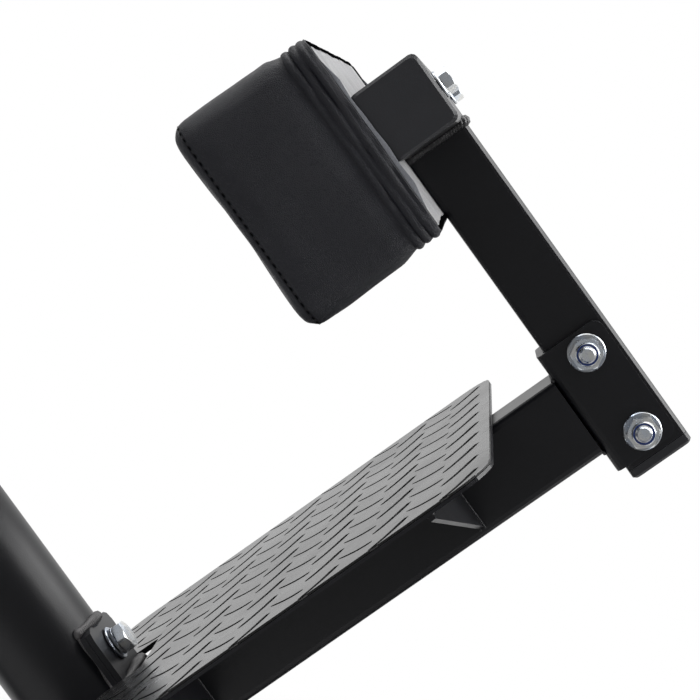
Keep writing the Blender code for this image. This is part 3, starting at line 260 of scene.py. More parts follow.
def makeVinyl(name, seamAt=None, dark=(0.0085, 0.0088, 0.0125), light=(0.0125, 0.0128, 0.0172),
              rough=0.47, specular=0.36, dust=0.03, pebbles=1150.0, bump=0.00013,
              seam=(0.0055, 0.0057, 0.0080), seamWidth=0.0011):
    net = startMaterial(name, Specular_IOR_Level=specular)
    grain = net.group("leatherGrain", Pebbles=pebbles)
    film = net.dust(dust)
    base, height = net.mix(grain["Tone"], dark, light), grain["Height"]
    if seamAt is not None:
        groove = net.group("panelSeam", AlongX=cosTilt, AlongZ=sinTilt, Offset=seamAt,
                           Width=seamWidth)["Groove"]
        base = net.mix(net.math("MULTIPLY", groove, 0.75), base, seam)
        height = net.math("MULTIPLY_ADD", groove, -9.0, height)
    return net.shade(Base_Color=net.mix(film, base, greyDust),
                     Roughness=net.spread(grain["Tone"], 0.0, 1.0, rough + 0.08, rough - 0.04),
                     Normal=net.bump(height, bump))


def makeMoulded(name, dark, light, rough, spark, bump, dust, specular=0.5):
    # Moulded plastic or rubber: spark texture, flow marks, dust.
    net = startMaterial(name, Specular_IOR_Level=specular)
    place = net.place()
    cloud = net.noise(place, 24.0, 4.0)
    film = net.dust(dust)
    return net.shade(Base_Color=net.mix(film, net.mix(cloud, dark, light), greyDust),
                     Roughness=net.spread(cloud, 0.3, 0.7, rough - 0.05, rough + 0.05),
                     Normal=net.bump(net.noise(place, spark, 2.0, 0.7), bump))


def makeTread(name, dark, light, deep, rough, spark, bump, dust):
    # The footplate's mat: a smooth rubber skin, with painted shade down in its grooves, whose floors are near
    # black and duller.
    net = startMaterial(name)
    place = net.place()
    cloud = net.noise(place, 14.0, 5.0, 0.6)
    scuff = net.spread(net.noise(net.place(True, (0.25, 1.0, 1.0)), 130.0, 5.0, 0.7), 0.52, 0.74)
    level = spanOf("tread_mat")[1].z - treadFloor["below"] + bench["z"] * cosTilt - bench["x"] * sinTilt
    groove = net.group("panelSeam", AlongX=-sinTilt, AlongZ=cosTilt, Offset=level,
                       Width=treadFloor["width"])["Groove"]
    groove = net.math("MULTIPLY", groove, 3.0, clamp=True)
    film = net.dust(dust)
    base = net.mix(net.math("MULTIPLY", scuff, 0.07), net.mix(cloud, dark, light), greyDust)
    clean = net.spread(cloud, 0.3, 0.7, rough - 0.02, rough + 0.03)
    scuffed = net.math("MULTIPLY_ADD", scuff, 0.05, clean)
    # The groove floors are mixed to the deep colour: painted shade.
    return net.shade(Base_Color=net.mix(groove, net.mix(film, base, greyDust), deep),
                     Roughness=net.math("MULTIPLY_ADD", groove, 0.5, scuffed),
                     Normal=net.bump(net.noise(place, spark, 2.0, 0.7), bump))


def makeFelt(name, dark, light, bump=0.0004):
    net = startMaterial(name, Roughness=0.95, Sheen_Weight=0.25)
    fibres = net.noise(net.place(True, (1.0, 0.25, 1.0)), 1400.0, 5.0, 0.7)
    across = net.noise(net.place(True, (1.0, 1.0, 0.25)), 1500.0, 5.0, 0.7)
    mat = net.math("MULTIPLY_ADD", across, 0.5, net.math("MULTIPLY", fibres, 0.5))
    both = net.math("MULTIPLY_ADD", net.noise(net.place(), 45.0), 0.35, net.math("MULTIPLY", mat, 0.65))
    return net.shade(Base_Color=net.mix(net.spread(both, 0.35, 0.65), dark, light), Normal=net.bump(mat, bump))


def makePly(name, light, dark, glue, bump):
    net = startMaterial(name, Specular_IOR_Level=0.35)
    place = net.place(True, (1.0, 1.0, 0.06))
    grain = net.add("TexWave", Scale=55.0, Distortion=5.0, Detail=3.0, bands_direction="Y",
                    Vector=place).outputs["Fac"]
    pores = net.noise(place, 900.0, 4.0, 0.7)
    layer = net.add("TexWave", Scale=210.0, Distortion=0.4, bands_direction="X",
                    Vector=net.place(True)).outputs["Fac"]
    glued = net.math("MULTIPLY", layer, 0.35)
    return net.shade(Base_Color=net.mix(glued, net.mix(grain, light, dark), glue),
                     Roughness=net.spread(pores, 0.3, 0.7, 0.62, 0.8),
                     Normal=net.bump(net.math("MULTIPLY_ADD", pores, 0.5, grain), bump))


finishes = {
    "powderCoat": makePaint(
        "powderCoat", dark=(0.0042, 0.0043, 0.0058), light=(0.0064, 0.0066, 0.0084),
        edge=(0.030, 0.031, 0.036), rough=0.36, peel=1000.0, wear=0.5, bump=0.00004, dust=0.02, specular=0.34),
    "weld": makePaint(
        "paintedWeld", dark=(0.007, 0.007, 0.008), light=(0.020, 0.0195, 0.021), edge=(0.10, 0.095, 0.10),
        rough=0.50, peel=900.0, wear=0.12, bump=0.00004, dust=0.06, specular=0.6),
    # A paler, mottled weld colour for the flange joints.
    "weldBright": makePaint(
        "spatteredWeld", dark=(0.018, 0.0175, 0.018), light=(0.085, 0.082, 0.084), edge=(0.16, 0.155, 0.16),
        rough=0.46, peel=1400.0, wear=0.5, bump=0.00012, dust=0.12, specular=0.6),
    "washer": makeMetal(
        "zincWasher", cool=(0.44, 0.48, 0.55), warm=(0.54, 0.55, 0.55), dull=(0.22, 0.24, 0.28),
        spots=0.4, rough=0.31, lines=420.0, bump=0.000010),
    "zinc": makeMetal(
        "zincPlate", cool=(0.74, 0.80, 0.88), warm=(0.84, 0.84, 0.82), dull=(0.42, 0.44, 0.48),
        spots=0.35, rough=0.27, lines=500.0, bump=0.000008),
    "chrome": makeMetal(
        "hardChrome", cool=(0.70, 0.72, 0.75), warm=(0.76, 0.76, 0.76), dull=(0.45, 0.46, 0.48),
        spots=0.15, rough=0.11, lines=260.0, bump=0.000012),
    "spring": makeMetal(
        "springSteel", cool=(0.34, 0.35, 0.38), warm=(0.42, 0.41, 0.39), dull=(0.14, 0.13, 0.12),
        spots=0.6, rough=0.34, lines=900.0, bump=0.00003),
    "rubber": makeMoulded(
        "mouldedRubber", dark=(0.012, 0.012, 0.013), light=(0.022, 0.022, 0.023), rough=0.68, spark=1800.0,
        bump=0.0001, dust=0.06),
    "plastic": makeMoulded(
        "mouldedPlastic", dark=(0.016, 0.0165, 0.019), light=(0.024, 0.0245, 0.028), rough=0.42,
        spark=1300.0, bump=0.00006, dust=0.04, specular=0.3),
    "nylon": makeMoulded(
        "nylonRing", dark=(0.008, 0.022, 0.105), light=(0.014, 0.035, 0.15), rough=0.36, spark=900.0,
        bump=0.00003, dust=0.0),
    # The tread's deep colour is painted shade for its groove floors.
    "tread": makeTread(
        "treadRubber", dark=(0.014, 0.014, 0.015), light=(0.022, 0.022, 0.023), deep=(0.002, 0.002, 0.002),
        rough=0.27, spark=2200.0, bump=0.00003, dust=0.05),
    "ply": makePly(
        "stainedPly", light=(0.40, 0.27, 0.14), dark=(0.26, 0.16, 0.075), glue=(0.12, 0.07, 0.035),
        bump=0.0002),
    "felt": makeFelt("greyFelt", dark=(0.36, 0.36, 0.37), light=(0.60, 0.60, 0.61)),
    "feltEdge": makeFelt("shadedFelt", dark=(0.11, 0.115, 0.13), light=(0.20, 0.205, 0.225)),
    # The cloth's matt back, darker than the cover and without gloss: painted shade for the hem's lifted
    # underside; the stitches' thread takes it too.
    "clothBack": makeVinyl(
        "clothBack", dark=(0.0022, 0.0022, 0.0026), light=(0.0050, 0.0050, 0.0056), rough=0.9,
        specular=0.0, dust=0.0),
}

# The first word that a node's name holds gives its finish.
finishWords = {"washer": "washer", "bolt": "zinc", "nut": "zinc", "axle": "zinc", "housing": "zinc",
               "spring": "spring", "tread": "tread", "inner_tube": "chrome", "board": "ply",
               "backing": "felt", "foot_cap": "rubber", "grip": "rubber", "wheel": "rubber",
               "cap": "plastic", "collar": "plastic", "pull_pin": "plastic"}
for name, node in cadNodes.items():
    finish = next((finishWords[word] for word in finishWords if word in name), "powderCoat")
    node.data.materials.clear()
    node.data.materials.append(finishes[finish])
print("finishes laid on the CAD nodes")

# Piece helpers
nearby = 0.000002                     # vertices this close are one


def camel(node):
    first, *rest = node.split("_")
    return first + "".join(word.capitalize() for word in rest)


def meshOf(bm, name):
    mesh = bpy.data.meshes.new(name)
    bm.to_mesh(mesh)
    bm.free()
    return mesh


def addObject(name, data):
    made = bpy.data.objects.new(name, data)
    bpy.context.scene.collection.objects.link(made)
    return made


def mergeVerts(bm, reach=nearby):
    bmesh.ops.remove_doubles(bm, verts=bm.verts, dist=reach)
    return bm


def movedBy(bm, matrix):
    bmesh.ops.transform(bm, matrix=matrix, verts=bm.verts)
    return bm


def finishPiece(name, bm, looks, body, replaces=(), at=benchFrame, sharp=35.0):
    mergeVerts(movedBy(bm, at))
    bmesh.ops.recalc_face_normals(bm, faces=bm.faces)
    mesh = meshOf(bm, name)
    mesh.shade_smooth()
    mesh.set_sharp_from_angle(angle=math.radians(sharp))
    for look in looks.split():
        mesh.materials.append(finishes[look])
    piece = addObject(name, mesh)
    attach(piece, body)
    if replaces:
        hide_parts(*replaces)
    return piece


def ringSkin(rings, sealed=True):
    # A grid wrapped over closed rings of places.
    count = len(rings[0])
    bm = bmesh.new()
    made = bmesh.ops.create_grid(bm, x_segments=count, y_segments=len(rings) - 1, size=1.0)["verts"]
    for i, vert in enumerate(made):
        vert.co = rings[i // (count + 1)][i % (count + 1) % count]
    mergeVerts(bm)
    if sealed:
        bmesh.ops.holes_fill(bm, edges=bm.edges)
    return bm


def lathe(profile, steps, close=False):
    # A profile of (radius, height) pairs turned round z.
    bm = bmesh.new()
    loop = profile + profile[:1] if close else profile
    verts = [bm.verts.new((radius, 0, height)) for radius, height in loop]
    edges = [bm.edges.new(pair) for pair in zip(verts, verts[1:])]
    bmesh.ops.spin(bm, geom=verts + edges, cent=(0, 0, 0), steps=steps, angle=2 * math.pi,
                   axis=(0, 0, 1), use_merge=True)
    return bm


def fromAxis(axis, place):
    # Turns the z axis a piece was built on to point along axis from place.
    return Matrix.Translation(place) @ Vector(axis).to_track_quat("Z", "Y").to_matrix().to_4x4()


def inFrame(axis, place):
    return benchFrame @ fromAxis(axis, place)


def asObject(bm, name="tool"):
    bmesh.ops.recalc_face_normals(mergeVerts(bm), faces=bm.faces)
    return addObject(name, meshOf(bm, name))


def settle(made):
    # The object's mesh with its modifiers applied, as a new bmesh; the object goes.
    bpy.context.view_layer.update()
    seen = made.evaluated_get(bpy.context.evaluated_depsgraph_get())
    bm = bmesh.new()
    bm.from_mesh(seen.to_mesh())
    seen.to_mesh_clear()
    bpy.data.objects.remove(made, do_unlink=True)
    return bm


def carve(first, second, operation):
    body, tool = asObject(first), asObject(second)
    step = body.modifiers.new("carve", "BOOLEAN")
    step.operation, step.object, step.solver = operation, tool, "EXACT"
    bm = settle(body)
    bpy.data.objects.remove(tool, do_unlink=True)
    return bm


def joinInto(target, extra):
    mesh = meshOf(extra, "step")
    target.from_mesh(mesh)
    bpy.data.meshes.remove(mesh)


def makeDrop(segments, rings):
    bm = bmesh.new()
    bmesh.ops.create_uvsphere(bm, u_segments=segments, v_segments=rings, radius=1.0)
    return meshOf(bm, "drop")


def stamp(bm, drop, at):
    # One more copy of a small shape.
    copy = drop.copy()
    copy.transform(at)
    bm.from_mesh(copy)
    bpy.data.meshes.remove(copy)


drops = {"weld": makeDrop(8, 5), "thread": makeDrop(6, 4)}


def roundedLoop(width, height, corner, steps=6, straight=0.012):
    # Places and outward directions round a rounded rectangle, as (across, up).
    loop = []
    halfW, halfH = width / 2 - corner, height / 2 - corner
    for quarter, (cx, cy) in enumerate(((halfW, halfH), (-halfW, halfH), (-halfW, -halfH), (halfW, -halfH))):
        for step in range(steps + 1):
            angle = math.radians(90 * quarter + 90 * step / steps)
            out = Vector((math.cos(angle), math.sin(angle)))
            loop.append((Vector((cx, cy)) + corner * out, out))
    full = []
    for i, (place, out) in enumerate(loop):
        nextPlace, nextOut = loop[(i + 1) % len(loop)]
        full.append((place, out))
        parts = max(1, round((nextPlace - place).length / straight))
        for part in range(1, parts):
            share = part / parts
            full.append((place.lerp(nextPlace, share), out.lerp(nextOut, share).normalized()))
    return full


def ripple(at, seed):
    # A gentle unevenness, the same on every run.
    return (math.sin(at * 61.0 + seed) + 0.6 * math.sin(at * 143.0 + 2.1 * seed)
            + 0.4 * math.sin(at * 317.0 + 3.3 * seed)) / 2.0


# Cushions: a foam block swollen in its cover, the gathered band round its back, a stitched seam
def padFrom(node, way, foam, **sizes):
    # A pad's place and outline from its CAD solid; foam is how far its block stays short of it.
    low, high = spanOf(node)
    return {"back": low.x if way > 0 else high.x, "way": way,
            "middle": ((low.y + high.y) / 2, (low.z + high.z) / 2), "width": high.y - low.y,
            "height": high.z - low.z, "foam": high.x - low.x - foam, **sizes}


def onPad(pad, depth, inset, place, out):
    # A place this deep before the pad's back and this far in from its outline.
    across, up = pad["middle"]
    return (pad["back"] + pad["way"] * depth, across + place.x - inset * out.x,
            up + place.y - inset * out.y)


def cushionBlock(pad):
    edge, bend, draw = pad["foam"] - pad["round"], pad["round"], pad["draw"]
    stations = [(0.0, pad["tuck"]), (pad["band"], pad["tuck"]), (pad["band"] + 0.006, draw * 0.3),
                (edge * 0.55, draw * 0.45), (edge, draw)]
    for step in range(1, 5):
        angle = math.pi / 2 * step / 4.4
        stations.append((edge + bend * math.sin(angle), draw + bend * (1 - math.cos(angle))))
    loop = roundedLoop(pad["width"], pad["height"], pad["corner"], 5, 0.010)
    return ringSkin([[onPad(pad, depth, inset, *spot) for spot in loop] for depth, inset in stations])


# The cover is held to this far before its band, fading over the last of it.
swelling = {"frames": 20, "quality": 6, "stretch": 18.0, "bend": 1.2, "hold": 0.008, "fade": 0.006}


def swell(body, pad):
    # Cloth under pressure; no point moves further than its cap.
    scene = bpy.context.scene
    start = [vert.co.copy() for vert in body.data.vertices]
    depths = [(place.x - pad["back"]) * pad["way"] for place in start]
    held = body.vertex_groups.new(name="held")
    for i, depth in enumerate(depths):
        weight = (pad["band"] + swelling["hold"] - depth) / swelling["fade"]
        held.add([i], max(0.0, min(1.0, weight)), "REPLACE")
    cloth = body.modifiers.new("swell", "CLOTH")
    cloth.settings.use_pressure = True
    cloth.settings.uniform_pressure_force = pad["pressure"]
    cloth.settings.quality = swelling["quality"]
    cloth.settings.tension_stiffness = cloth.settings.compression_stiffness = swelling["stretch"]
    cloth.settings.bending_stiffness = swelling["bend"]
    cloth.settings.vertex_group_mass = "held"
    cloth.settings.effector_weights.gravity = 0.0
    cloth.point_cache.frame_start, cloth.point_cache.frame_end = 1, swelling["frames"]
    for frameNumber in range(1, swelling["frames"] + 1):
        scene.frame_set(frameNumber)
    seen = body.evaluated_get(bpy.context.evaluated_depsgraph_get())
    swollen = [vert.co.copy() for vert in seen.data.vertices]
    body.modifiers.remove(cloth)
    scene.frame_set(1)
    for vert, depth, old, new in zip(body.data.vertices, depths, start, swollen):
        cap = pad["capFront"] if depth > pad["foam"] - pad["round"] else pad["capSide"]
        step = new - old
        vert.co = old + step * min(1.0, cap / max(step.length, 0.000001))


def makeCushion(name, pad, body, replaced, board):
    block = asObject(cushionBlock(pad), name + "Block")
    remesh = block.modifiers.new("even", "REMESH")
    remesh.mode, remesh.voxel_size = "VOXEL", pad["voxel"]
    even = asObject(settle(block), name + "Even")
    swell(even, pad)
    bm = settle(even)
    bmesh.ops.smooth_vert(bm, verts=bm.verts, factor=0.5, use_axis_x=True, use_axis_y=True, use_axis_z=True)
    bmesh.ops.subdivide_edges(bm, edges=bm.edges, cuts=1, smooth=0.6, use_grid_fill=True)
    # The board's pocket is open at the back.
    low, high = spanOf(board)
    grow, past = 0.0004, 0.01
    size = high - low + Vector((2 * past, 2 * grow, 2 * grow))
    middle = (high + low) / 2 + Vector((-pad["way"] * (past - grow), 0, 0))
    pocket = bmesh.new()
    bmesh.ops.create_cube(pocket, size=1.0, matrix=Matrix.Translation(middle) @ Matrix.Diagonal((*size, 1.0)))
    seamAt = bench["x"] * cosTilt + bench["z"] * sinTilt + seamPlace(pad)
    finishes[name + "Vinyl"] = makeVinyl(name + "Vinyl", seamAt)
    piece = finishPiece(name, carve(bm, pocket, "DIFFERENCE"), name + "Vinyl", body, [replaced],
                        sharp=70.0)
    return piece


def seamPlace(pad):
    return pad["back"] + pad["way"] * (pad["foam"] - pad["seam"])


def ridgeHeight(pad, depth, at):
    # How far the gathered cloth stands out at this depth.
    best, pitch, seed = 0.0, pad["pitch"], pad["seed"]
    for number in range(pad["ridges"]):
        centre = pitch * (number + 0.5) + 0.0005 * ripple(at, 1.7 * number + seed)
        high = pad["ridge"] * (0.80 + 0.26 * ripple(at * 1.7, 3.1 * number + 1.0 + seed))
        share = 1.0 - ((depth - centre) / (pitch * 0.5)) ** 2
        best = max(best, high * math.sqrt(max(0.0, share)))
    return best


def hemPoint(pad, share, place, out, at):
    # From the hem's inner edge (1) to the pad's corner (0): how deep, and how far in.
    inset = share * (pad["hem"] + 0.0008 * ripple(at * 0.8, 5.0 + pad["seed"]))
    pressed = 1.0
    if pad["tube"] and abs(out.x) > 0.3:
        # The cross tube presses on the hem.
        beside = abs(pad["middle"][1] + place.y - pad["tube"])
        beyond = 0.0 if inset > 0.0042 else 1.0
        pressed = max(0.1, beyond, min(1.0, (beside - 0.0195) / 0.008))
    crest = math.sin(math.pi * min(1.0, 0.12 + 0.88 * share) ** 0.7) ** 0.5 if share < 1.0 else 0.0
    fold = pad["fold"] if abs(out.x) > 0.75 else pad["fold"] * 0.35
    lift = (fold + 0.0002 * ripple(at, 8.0 + pad["seed"])) * crest
    return -pad["felt"] * min(1.0, 0.3 + share * 2.0) - lift * pressed - 0.0002, inset + pad["tuck"] * 0.4


clothThick = 0.0007


def makeBand(name, pad, look, body):
    # Gathered ridges round the pad's back, and the hem turned over the backing.
    loop = roundedLoop(pad["width"], pad["height"], pad["corner"], 7, 0.0024)
    walk, run = [], 0.0
    for i, (place, out) in enumerate(loop):
        walk.append((place, out, run))
        run += (loop[(i + 1) % len(loop)][0] - place).length
    tuck, count = pad["tuck"], pad["ridges"]
    rings = [[onPad(pad, *hemPoint(pad, share, place, out, at), place, out) for place, out, at in walk]
             for share in (1.0, 0.97, 0.85, 0.65, 0.45, 0.25, 0.08)]
    turned = len(rings) - 1
    last = pad["pitch"] * count + 0.0006
    for step in range(7 * count + 1):
        depth = 0.0002 + last * step / (7 * count)
        rings.append([onPad(pad, depth, tuck - ridgeHeight(pad, depth, at), place, out)
                      for place, out, at in walk])
    rings.append([onPad(pad, last + 0.0010, tuck + 0.0012, *spot) for spot in loop])
    # The hem shows the cloth's matt back, made darker than the cover and without gloss as painted shade for
    # its lifted underside, so it is a piece of its own.
    for part, sheet, side in (("Hem", rings[:turned], "clothBack"), ("", rings[turned - 1:], look)):
        bm = ringSkin(sheet, False)
        bmesh.ops.recalc_face_normals(bm, faces=bm.faces)
        bmesh.ops.solidify(bm, geom=bm.faces[:], thickness=clothThick)
        finishPiece(name + part, bm, side, body, sharp=80.0)


feltEdge = {"steps": 60, "end": 0.010, "inset": 0.0032, "tall": 0.0036, "wave": 0.0009, "lean": 0.0006,
            "half": 0.0006}


def makeFeltEdge(name, pad, body, way):
    # The backing's end stands up a little past the hem, beside the cross tube's plug.
    rings = []
    half = pad["height"] / 2 - feltEdge["end"]
    base = pad["back"] + pad["felt"] * 0.6
    side = pad["middle"][0] + way * (pad["width"] / 2 - feltEdge["inset"])
    for step in range(feltEdge["steps"] + 1):
        share = step / feltEdge["steps"]
        up = pad["middle"][1] - half + 2 * half * share
        tall = feltEdge["tall"] + feltEdge["wave"] * ripple(up, 2.0 + way)
        tall *= min(1.0, 0.1 + 5.0 * min(share, 1 - share))
        lean = feltEdge["lean"] * ripple(up * 1.3, 4.0 + way)
        rings.append([(base + tall * rise, side + feltEdge["half"] * across + lean * rise, up)
                      for across, rise in (
            (-1, 0), (-1, 0.8), (-0.6, 0.97), (0, 1.0), (0.6, 0.97), (1, 0.8), (1, 0))])
    finishPiece(name, ringSkin(rings), "feltEdge", body, sharp=60.0)


thread = {"share": 0.32, "wide": 0.00040, "high": 0.00032, "lift": 0.00008, "away": 0.015}


def makeStitches(name, pad, piece, body):
    # One row of thread along the front seam, laid on the swollen cover.
    cover = BVHTree.FromObject(piece, bpy.context.evaluated_depsgraph_get())
    away = thread["away"]
    loop = roundedLoop(pad["width"] + 2 * away, pad["height"] + 2 * away, pad["corner"] + away, 8,
                       pad["stitch"])
    spots = []
    for place, out in loop:
        source = Vector((seamPlace(pad), pad["middle"][0] + place.x, pad["middle"][1] + place.y))
        hit, normal, face, far = cover.ray_cast(benchFrame @ source,
                                                benchFrame.to_3x3() @ Vector((0, -out.x, -out.y)))
        if hit:
            spots.append((hit, normal))
    bm = bmesh.new()
    walked, last = 0.0, spots[-1][0]
    for i, (hit, normal) in enumerate(spots):
        walked += (hit - last).length
        last = hit
        if walked < pad["stitch"]:
            continue
        walked = 0.0
        along = (spots[(i + 1) % len(spots)][0] - spots[i - 1][0]).normalized()
        facing = Matrix((along, along.cross(normal).normalized(), normal)).transposed().to_4x4()
        size = Matrix.Diagonal((pad["stitch"] * thread["share"], thread["wide"], thread["high"], 1.0))
        stamp(bm, drops["thread"], Matrix.Translation(hit + normal * thread["lift"]) @ facing @ size)
    finishPiece(name, bm, "clothBack", body, at=floorFrame, sharp=80.0)


def makePad(name, trim, pad, body, replaced, board):
    piece = makeCushion(name, pad, body, replaced, board)
    makeBand(trim + "Band", pad, name + "Vinyl", body)
    makeStitches(trim + "Stitches", pad, piece, body)


tubeLow, tubeHigh = spanOf("cross_tube")
cover = {"tuck": 0.0016, "pitch": 0.0045, "ridge": 0.0019, "pressure": 4.0, "capSide": 0.0008,
         "voxel": 0.0045, "stitch": 0.0047}
calfPad = padFrom("calf_pad_cushion", -1.0, 0.0028, **cover, corner=0.012, round=0.006, draw=-0.0026,
                  band=0.0135, ridges=3, hem=0.0042, fold=0.0007, capFront=0.0014, seam=0.0052, seed=0.4,
                  fill=0.85, tube=(tubeLow.z + tubeHigh.z) / 2)
calfPad["felt"] = spanOf("calf_pad_backing")[1].x - calfPad["back"]
makePad("calfCushion", "calfPad", calfPad, "frame", "calf_pad_cushion", "calf_pad_board")
makeFeltEdge("calfPadBackingEdgeRight", calfPad, "frame", -1)
makeFeltEdge("calfPadBackingEdgeLeft", calfPad, "frame", 1)
print("calf pad made")

for side, seed in (("left", 2.3), ("right", 4.9)):
    hipPad = padFrom("hip_cushion_" + side, 1.0, 0.007, **cover, corner=0.030, round=0.010, draw=0.0022,
                     band=0.0086, ridges=2, hem=0.0045, fold=0.0006, capFront=0.008, seam=0.0085, seed=seed,
                     fill=0.75, tube=None, felt=0.0004)
    hipName = camel("hip_cushion_" + side)
    makePad(hipName, hipName, hipPad, "carriage", "hip_cushion_" + side, "hip_board_" + side)
print("hip pads made")


# Fasteners: chamfered hexagons, rolled threads, lock nuts with their nylon ring, sprung washers
m10 = {"flats": 0.017, "head": 0.0064, "radius": 0.005, "hexTop": 0.0072, "hole": 0.0054}
m8 = {"flats": 0.013, "radius": 0.004, "hole": 0.0044}
headGap, washerLift = 0.0003, 0.0004
alongX, alongY, alongZ = (1, 0, 0), (0, 1, 0), (0, 0, 1)
fromX, fromY = (-1, 0, 0), (0, -1, 0)


def addFastener(bm, looks, axis, place, node, spin=0.0):
    turn = Matrix.Rotation(math.radians(spin), 4, "Z")
    finishPiece(camel(node), bm, looks, "frame", [node], inFrame(axis, place) @ turn, 28.0)


def hexBody(flats, low, high, lowChamfer=0.0, highChamfer=0.0):
    bm = bmesh.new()
    corner = flats / math.sqrt(3)
    bmesh.ops.create_cone(bm, cap_ends=True, segments=6, radius1=corner, radius2=corner, depth=high - low,
                          matrix=Matrix.Translation((0, 0, (low + high) / 2)))
    corner *= 1.001
    turned = lathe([(0, low - lowChamfer * 0.01), (corner - lowChamfer, low),
                    (corner, low + lowChamfer * 0.55), (corner, high - highChamfer * 0.55),
                    (corner - highChamfer, high), (0, high + 0.00001)], 72)
    return carve(bm, turned, "INTERSECT")


def threadProfile(radius, low, high, pitch=0.0015, depth=0.00075, tip=0.001):
    # The outer line of a rolled thread, from the shank's low end to its turned tip.
    root = radius - depth
    profile = [(0.0, low), (root, low)]
    at = low
    while at + pitch < high - tip:
        profile += [(root, at + pitch * 0.1), (radius, at + pitch * 0.5), (radius, at + pitch * 0.6),
                    (root, at + pitch)]
        at += pitch
    return profile + [(root, high - tip), (root - tip * 0.6, high), (0.0, high)]


def hexBolt(node, size, length, axis, place, spin=0.0):
    # The head stands on the seat at z = 0 and the shank runs down from it.
    flats, head = size["flats"], size["head"]
    bm = hexBody(flats, 0.0004, head, 0.0, flats * 0.075)
    joinInto(bm, lathe([(0, 0), (flats * 0.47, 0), (flats * 0.48, 0.0002), (flats * 0.48, 0.0004),
                        (0, 0.0004)], 48))
    joinInto(bm, lathe([(0, head + 0.00002), (flats * 0.30, head + 0.00002), (flats * 0.33, head + 0.00005),
                        (flats * 0.35, head), (0, head - 0.0002)], 48))
    flip = Matrix.Scale(-1, 4, (0, 0, 1)) @ Matrix.Translation((0, 0, length))
    joinInto(bm, movedBy(lathe(threadProfile(size["radius"], -length, -0.0001), 32), flip))
    addFastener(bm, "zinc", axis, place, node, spin)


def washerSection(inner, outer, thick, bevel):
    return [(inner, bevel), (inner + bevel, 0), (outer - bevel, 0), (outer, bevel), (outer, thick - bevel),
            (outer - bevel, thick), (inner + bevel, thick), (inner, thick - bevel)]


def washerSize(node, axis):
    # Its outer radius, its thickness and the middle of its lower face.
    low, high = spanOf(node)
    size = high - low
    outer, thick = (size.x if axis == alongY else size.z) / 2, size.dot(axis)
    return outer, thick, (low + high) / 2 - Vector(axis) * thick / 2


def flatWasher(node, hole, axis):
    outer, thick, place = washerSize(node, axis)
    addFastener(lathe(washerSection(hole, outer, thick, thick * 0.28), 56, True), "washer", axis, place, node)


def springWasher(node, hole, axis):
    # A square wire bent to almost a full ring, its two ends a little apart.
    outer, thick, place = washerSize(node, axis)
    rings = []
    for step in range(57):
        share = step / 56
        angle = math.radians(6 + 348 * share)
        rings.append([(radius * math.cos(angle), radius * math.sin(angle), level + washerLift * share)
                      for radius, level in washerSection(hole, outer, thick - washerLift, 0.0003)])
    addFastener(ringSkin(rings), "washer", axis, place, node)


def lockNut(node, size):
    # Hexagon, turned collar, blue nylon ring in the collar's mouth.
    low, high = spanOf(node)
    middle, top = (low + high) / 2, high.y - low.y
    flats, hexTop, hole = size["flats"], size["hexTop"], size["radius"] + 0.00015
    wide = flats * 0.418
    mouth = wide - 0.00098
    bm = hexBody(flats, 0.0, hexTop, flats * 0.05, flats * 0.06)
    joinInto(bm, lathe([(wide, hexTop - 0.0006), (wide, top - 0.0018), (wide - 0.0003, top - 0.0009),
                        (wide - 0.0006, top - 0.0002), (wide - 0.0009, top), (wide - 0.00103, top - 0.0002),
                        (wide - 0.0010, top - 0.0012), (hole, top - 0.0026), (hole, hexTop - 0.0006)],
                       48, True))
    metal = len(bm.faces)
    joinInto(bm, lathe([(hole, top - 0.0022), (mouth, top - 0.0014), (mouth, top - 0.0004),
                        (mouth - 0.0003, top - 0.0002), (hole + 0.0004, top - 0.0002), (hole, top - 0.0005)],
                       48, True))
    bm.faces.ensure_lookup_table()
    for face in bm.faces[metal:]:
        face.material_index = 1
    addFastener(bm, "zinc nylon", fromY, (middle.x, high.y, middle.z), node)
    return middle


for level in ("lower", "upper"):
    middle = lockNut("bracket_nut_" + level, m10)
    low, high = spanOf("bracket_bolt_" + level)
    seat = high.y - m10["head"]
    hexBolt("bracket_bolt_" + level, m10, seat - low.y, alongY, (middle.x, seat, middle.z))
    flatWasher("bracket_washer_" + level, m10["hole"], alongY)
    middle = sum(spanOf("flange_washer_" + level), Vector()) / 2
    seat = spanOf("flange_spring_washer_" + level)[1].x + headGap
    hexBolt("flange_bolt_" + level, m10, seat - spanOf("flange_bolt_" + level)[0].x, alongX,
            (seat, 0, middle.z), 26.0)
    flatWasher("flange_washer_" + level, m10["hole"], alongX)
    springWasher("flange_spring_washer_" + level, m10["hole"], alongX)
for side in ("left", "right"):
    low, high = spanOf("calf_pad_bolt_" + side)
    seat = spanOf("calf_pad_washer_" + side)[1].x
    place = (seat + headGap, (low.y + high.y) / 2, (low.z + high.z) / 2)
    hexBolt("calf_pad_bolt_" + side, m8 | {"head": high.x - seat - headGap}, seat - low.x, alongX, place)
    flatWasher("calf_pad_washer_" + side, m8["hole"], alongX)
print("fasteners made")


# Welds: overlapping drops along each joint. A bead's radius, the pitch of its drops, its unevenness:
beads = {"postWeld": (0.0029, 0.0017, 0.35), "bracketWeld": (0.0015, 0.0024, 0.2),
         "beamFlangeWeld": (0.0034, 0.0019, 0.55), "mastFlangeWeld": (0.0030, 0.0019, 0.5),
         "gussetWelds": (0.0009, 0.0013, 0.2), "baseRailWeld": (0.0026, 0.0026, 0.3),
         "strutFootWeld": (0.0026, 0.0026, 0.3), "strutHeadWeld": (0.0024, 0.0026, 0.3),
         "padFrameWeld": (0.0022, 0.0024, 0.3)}


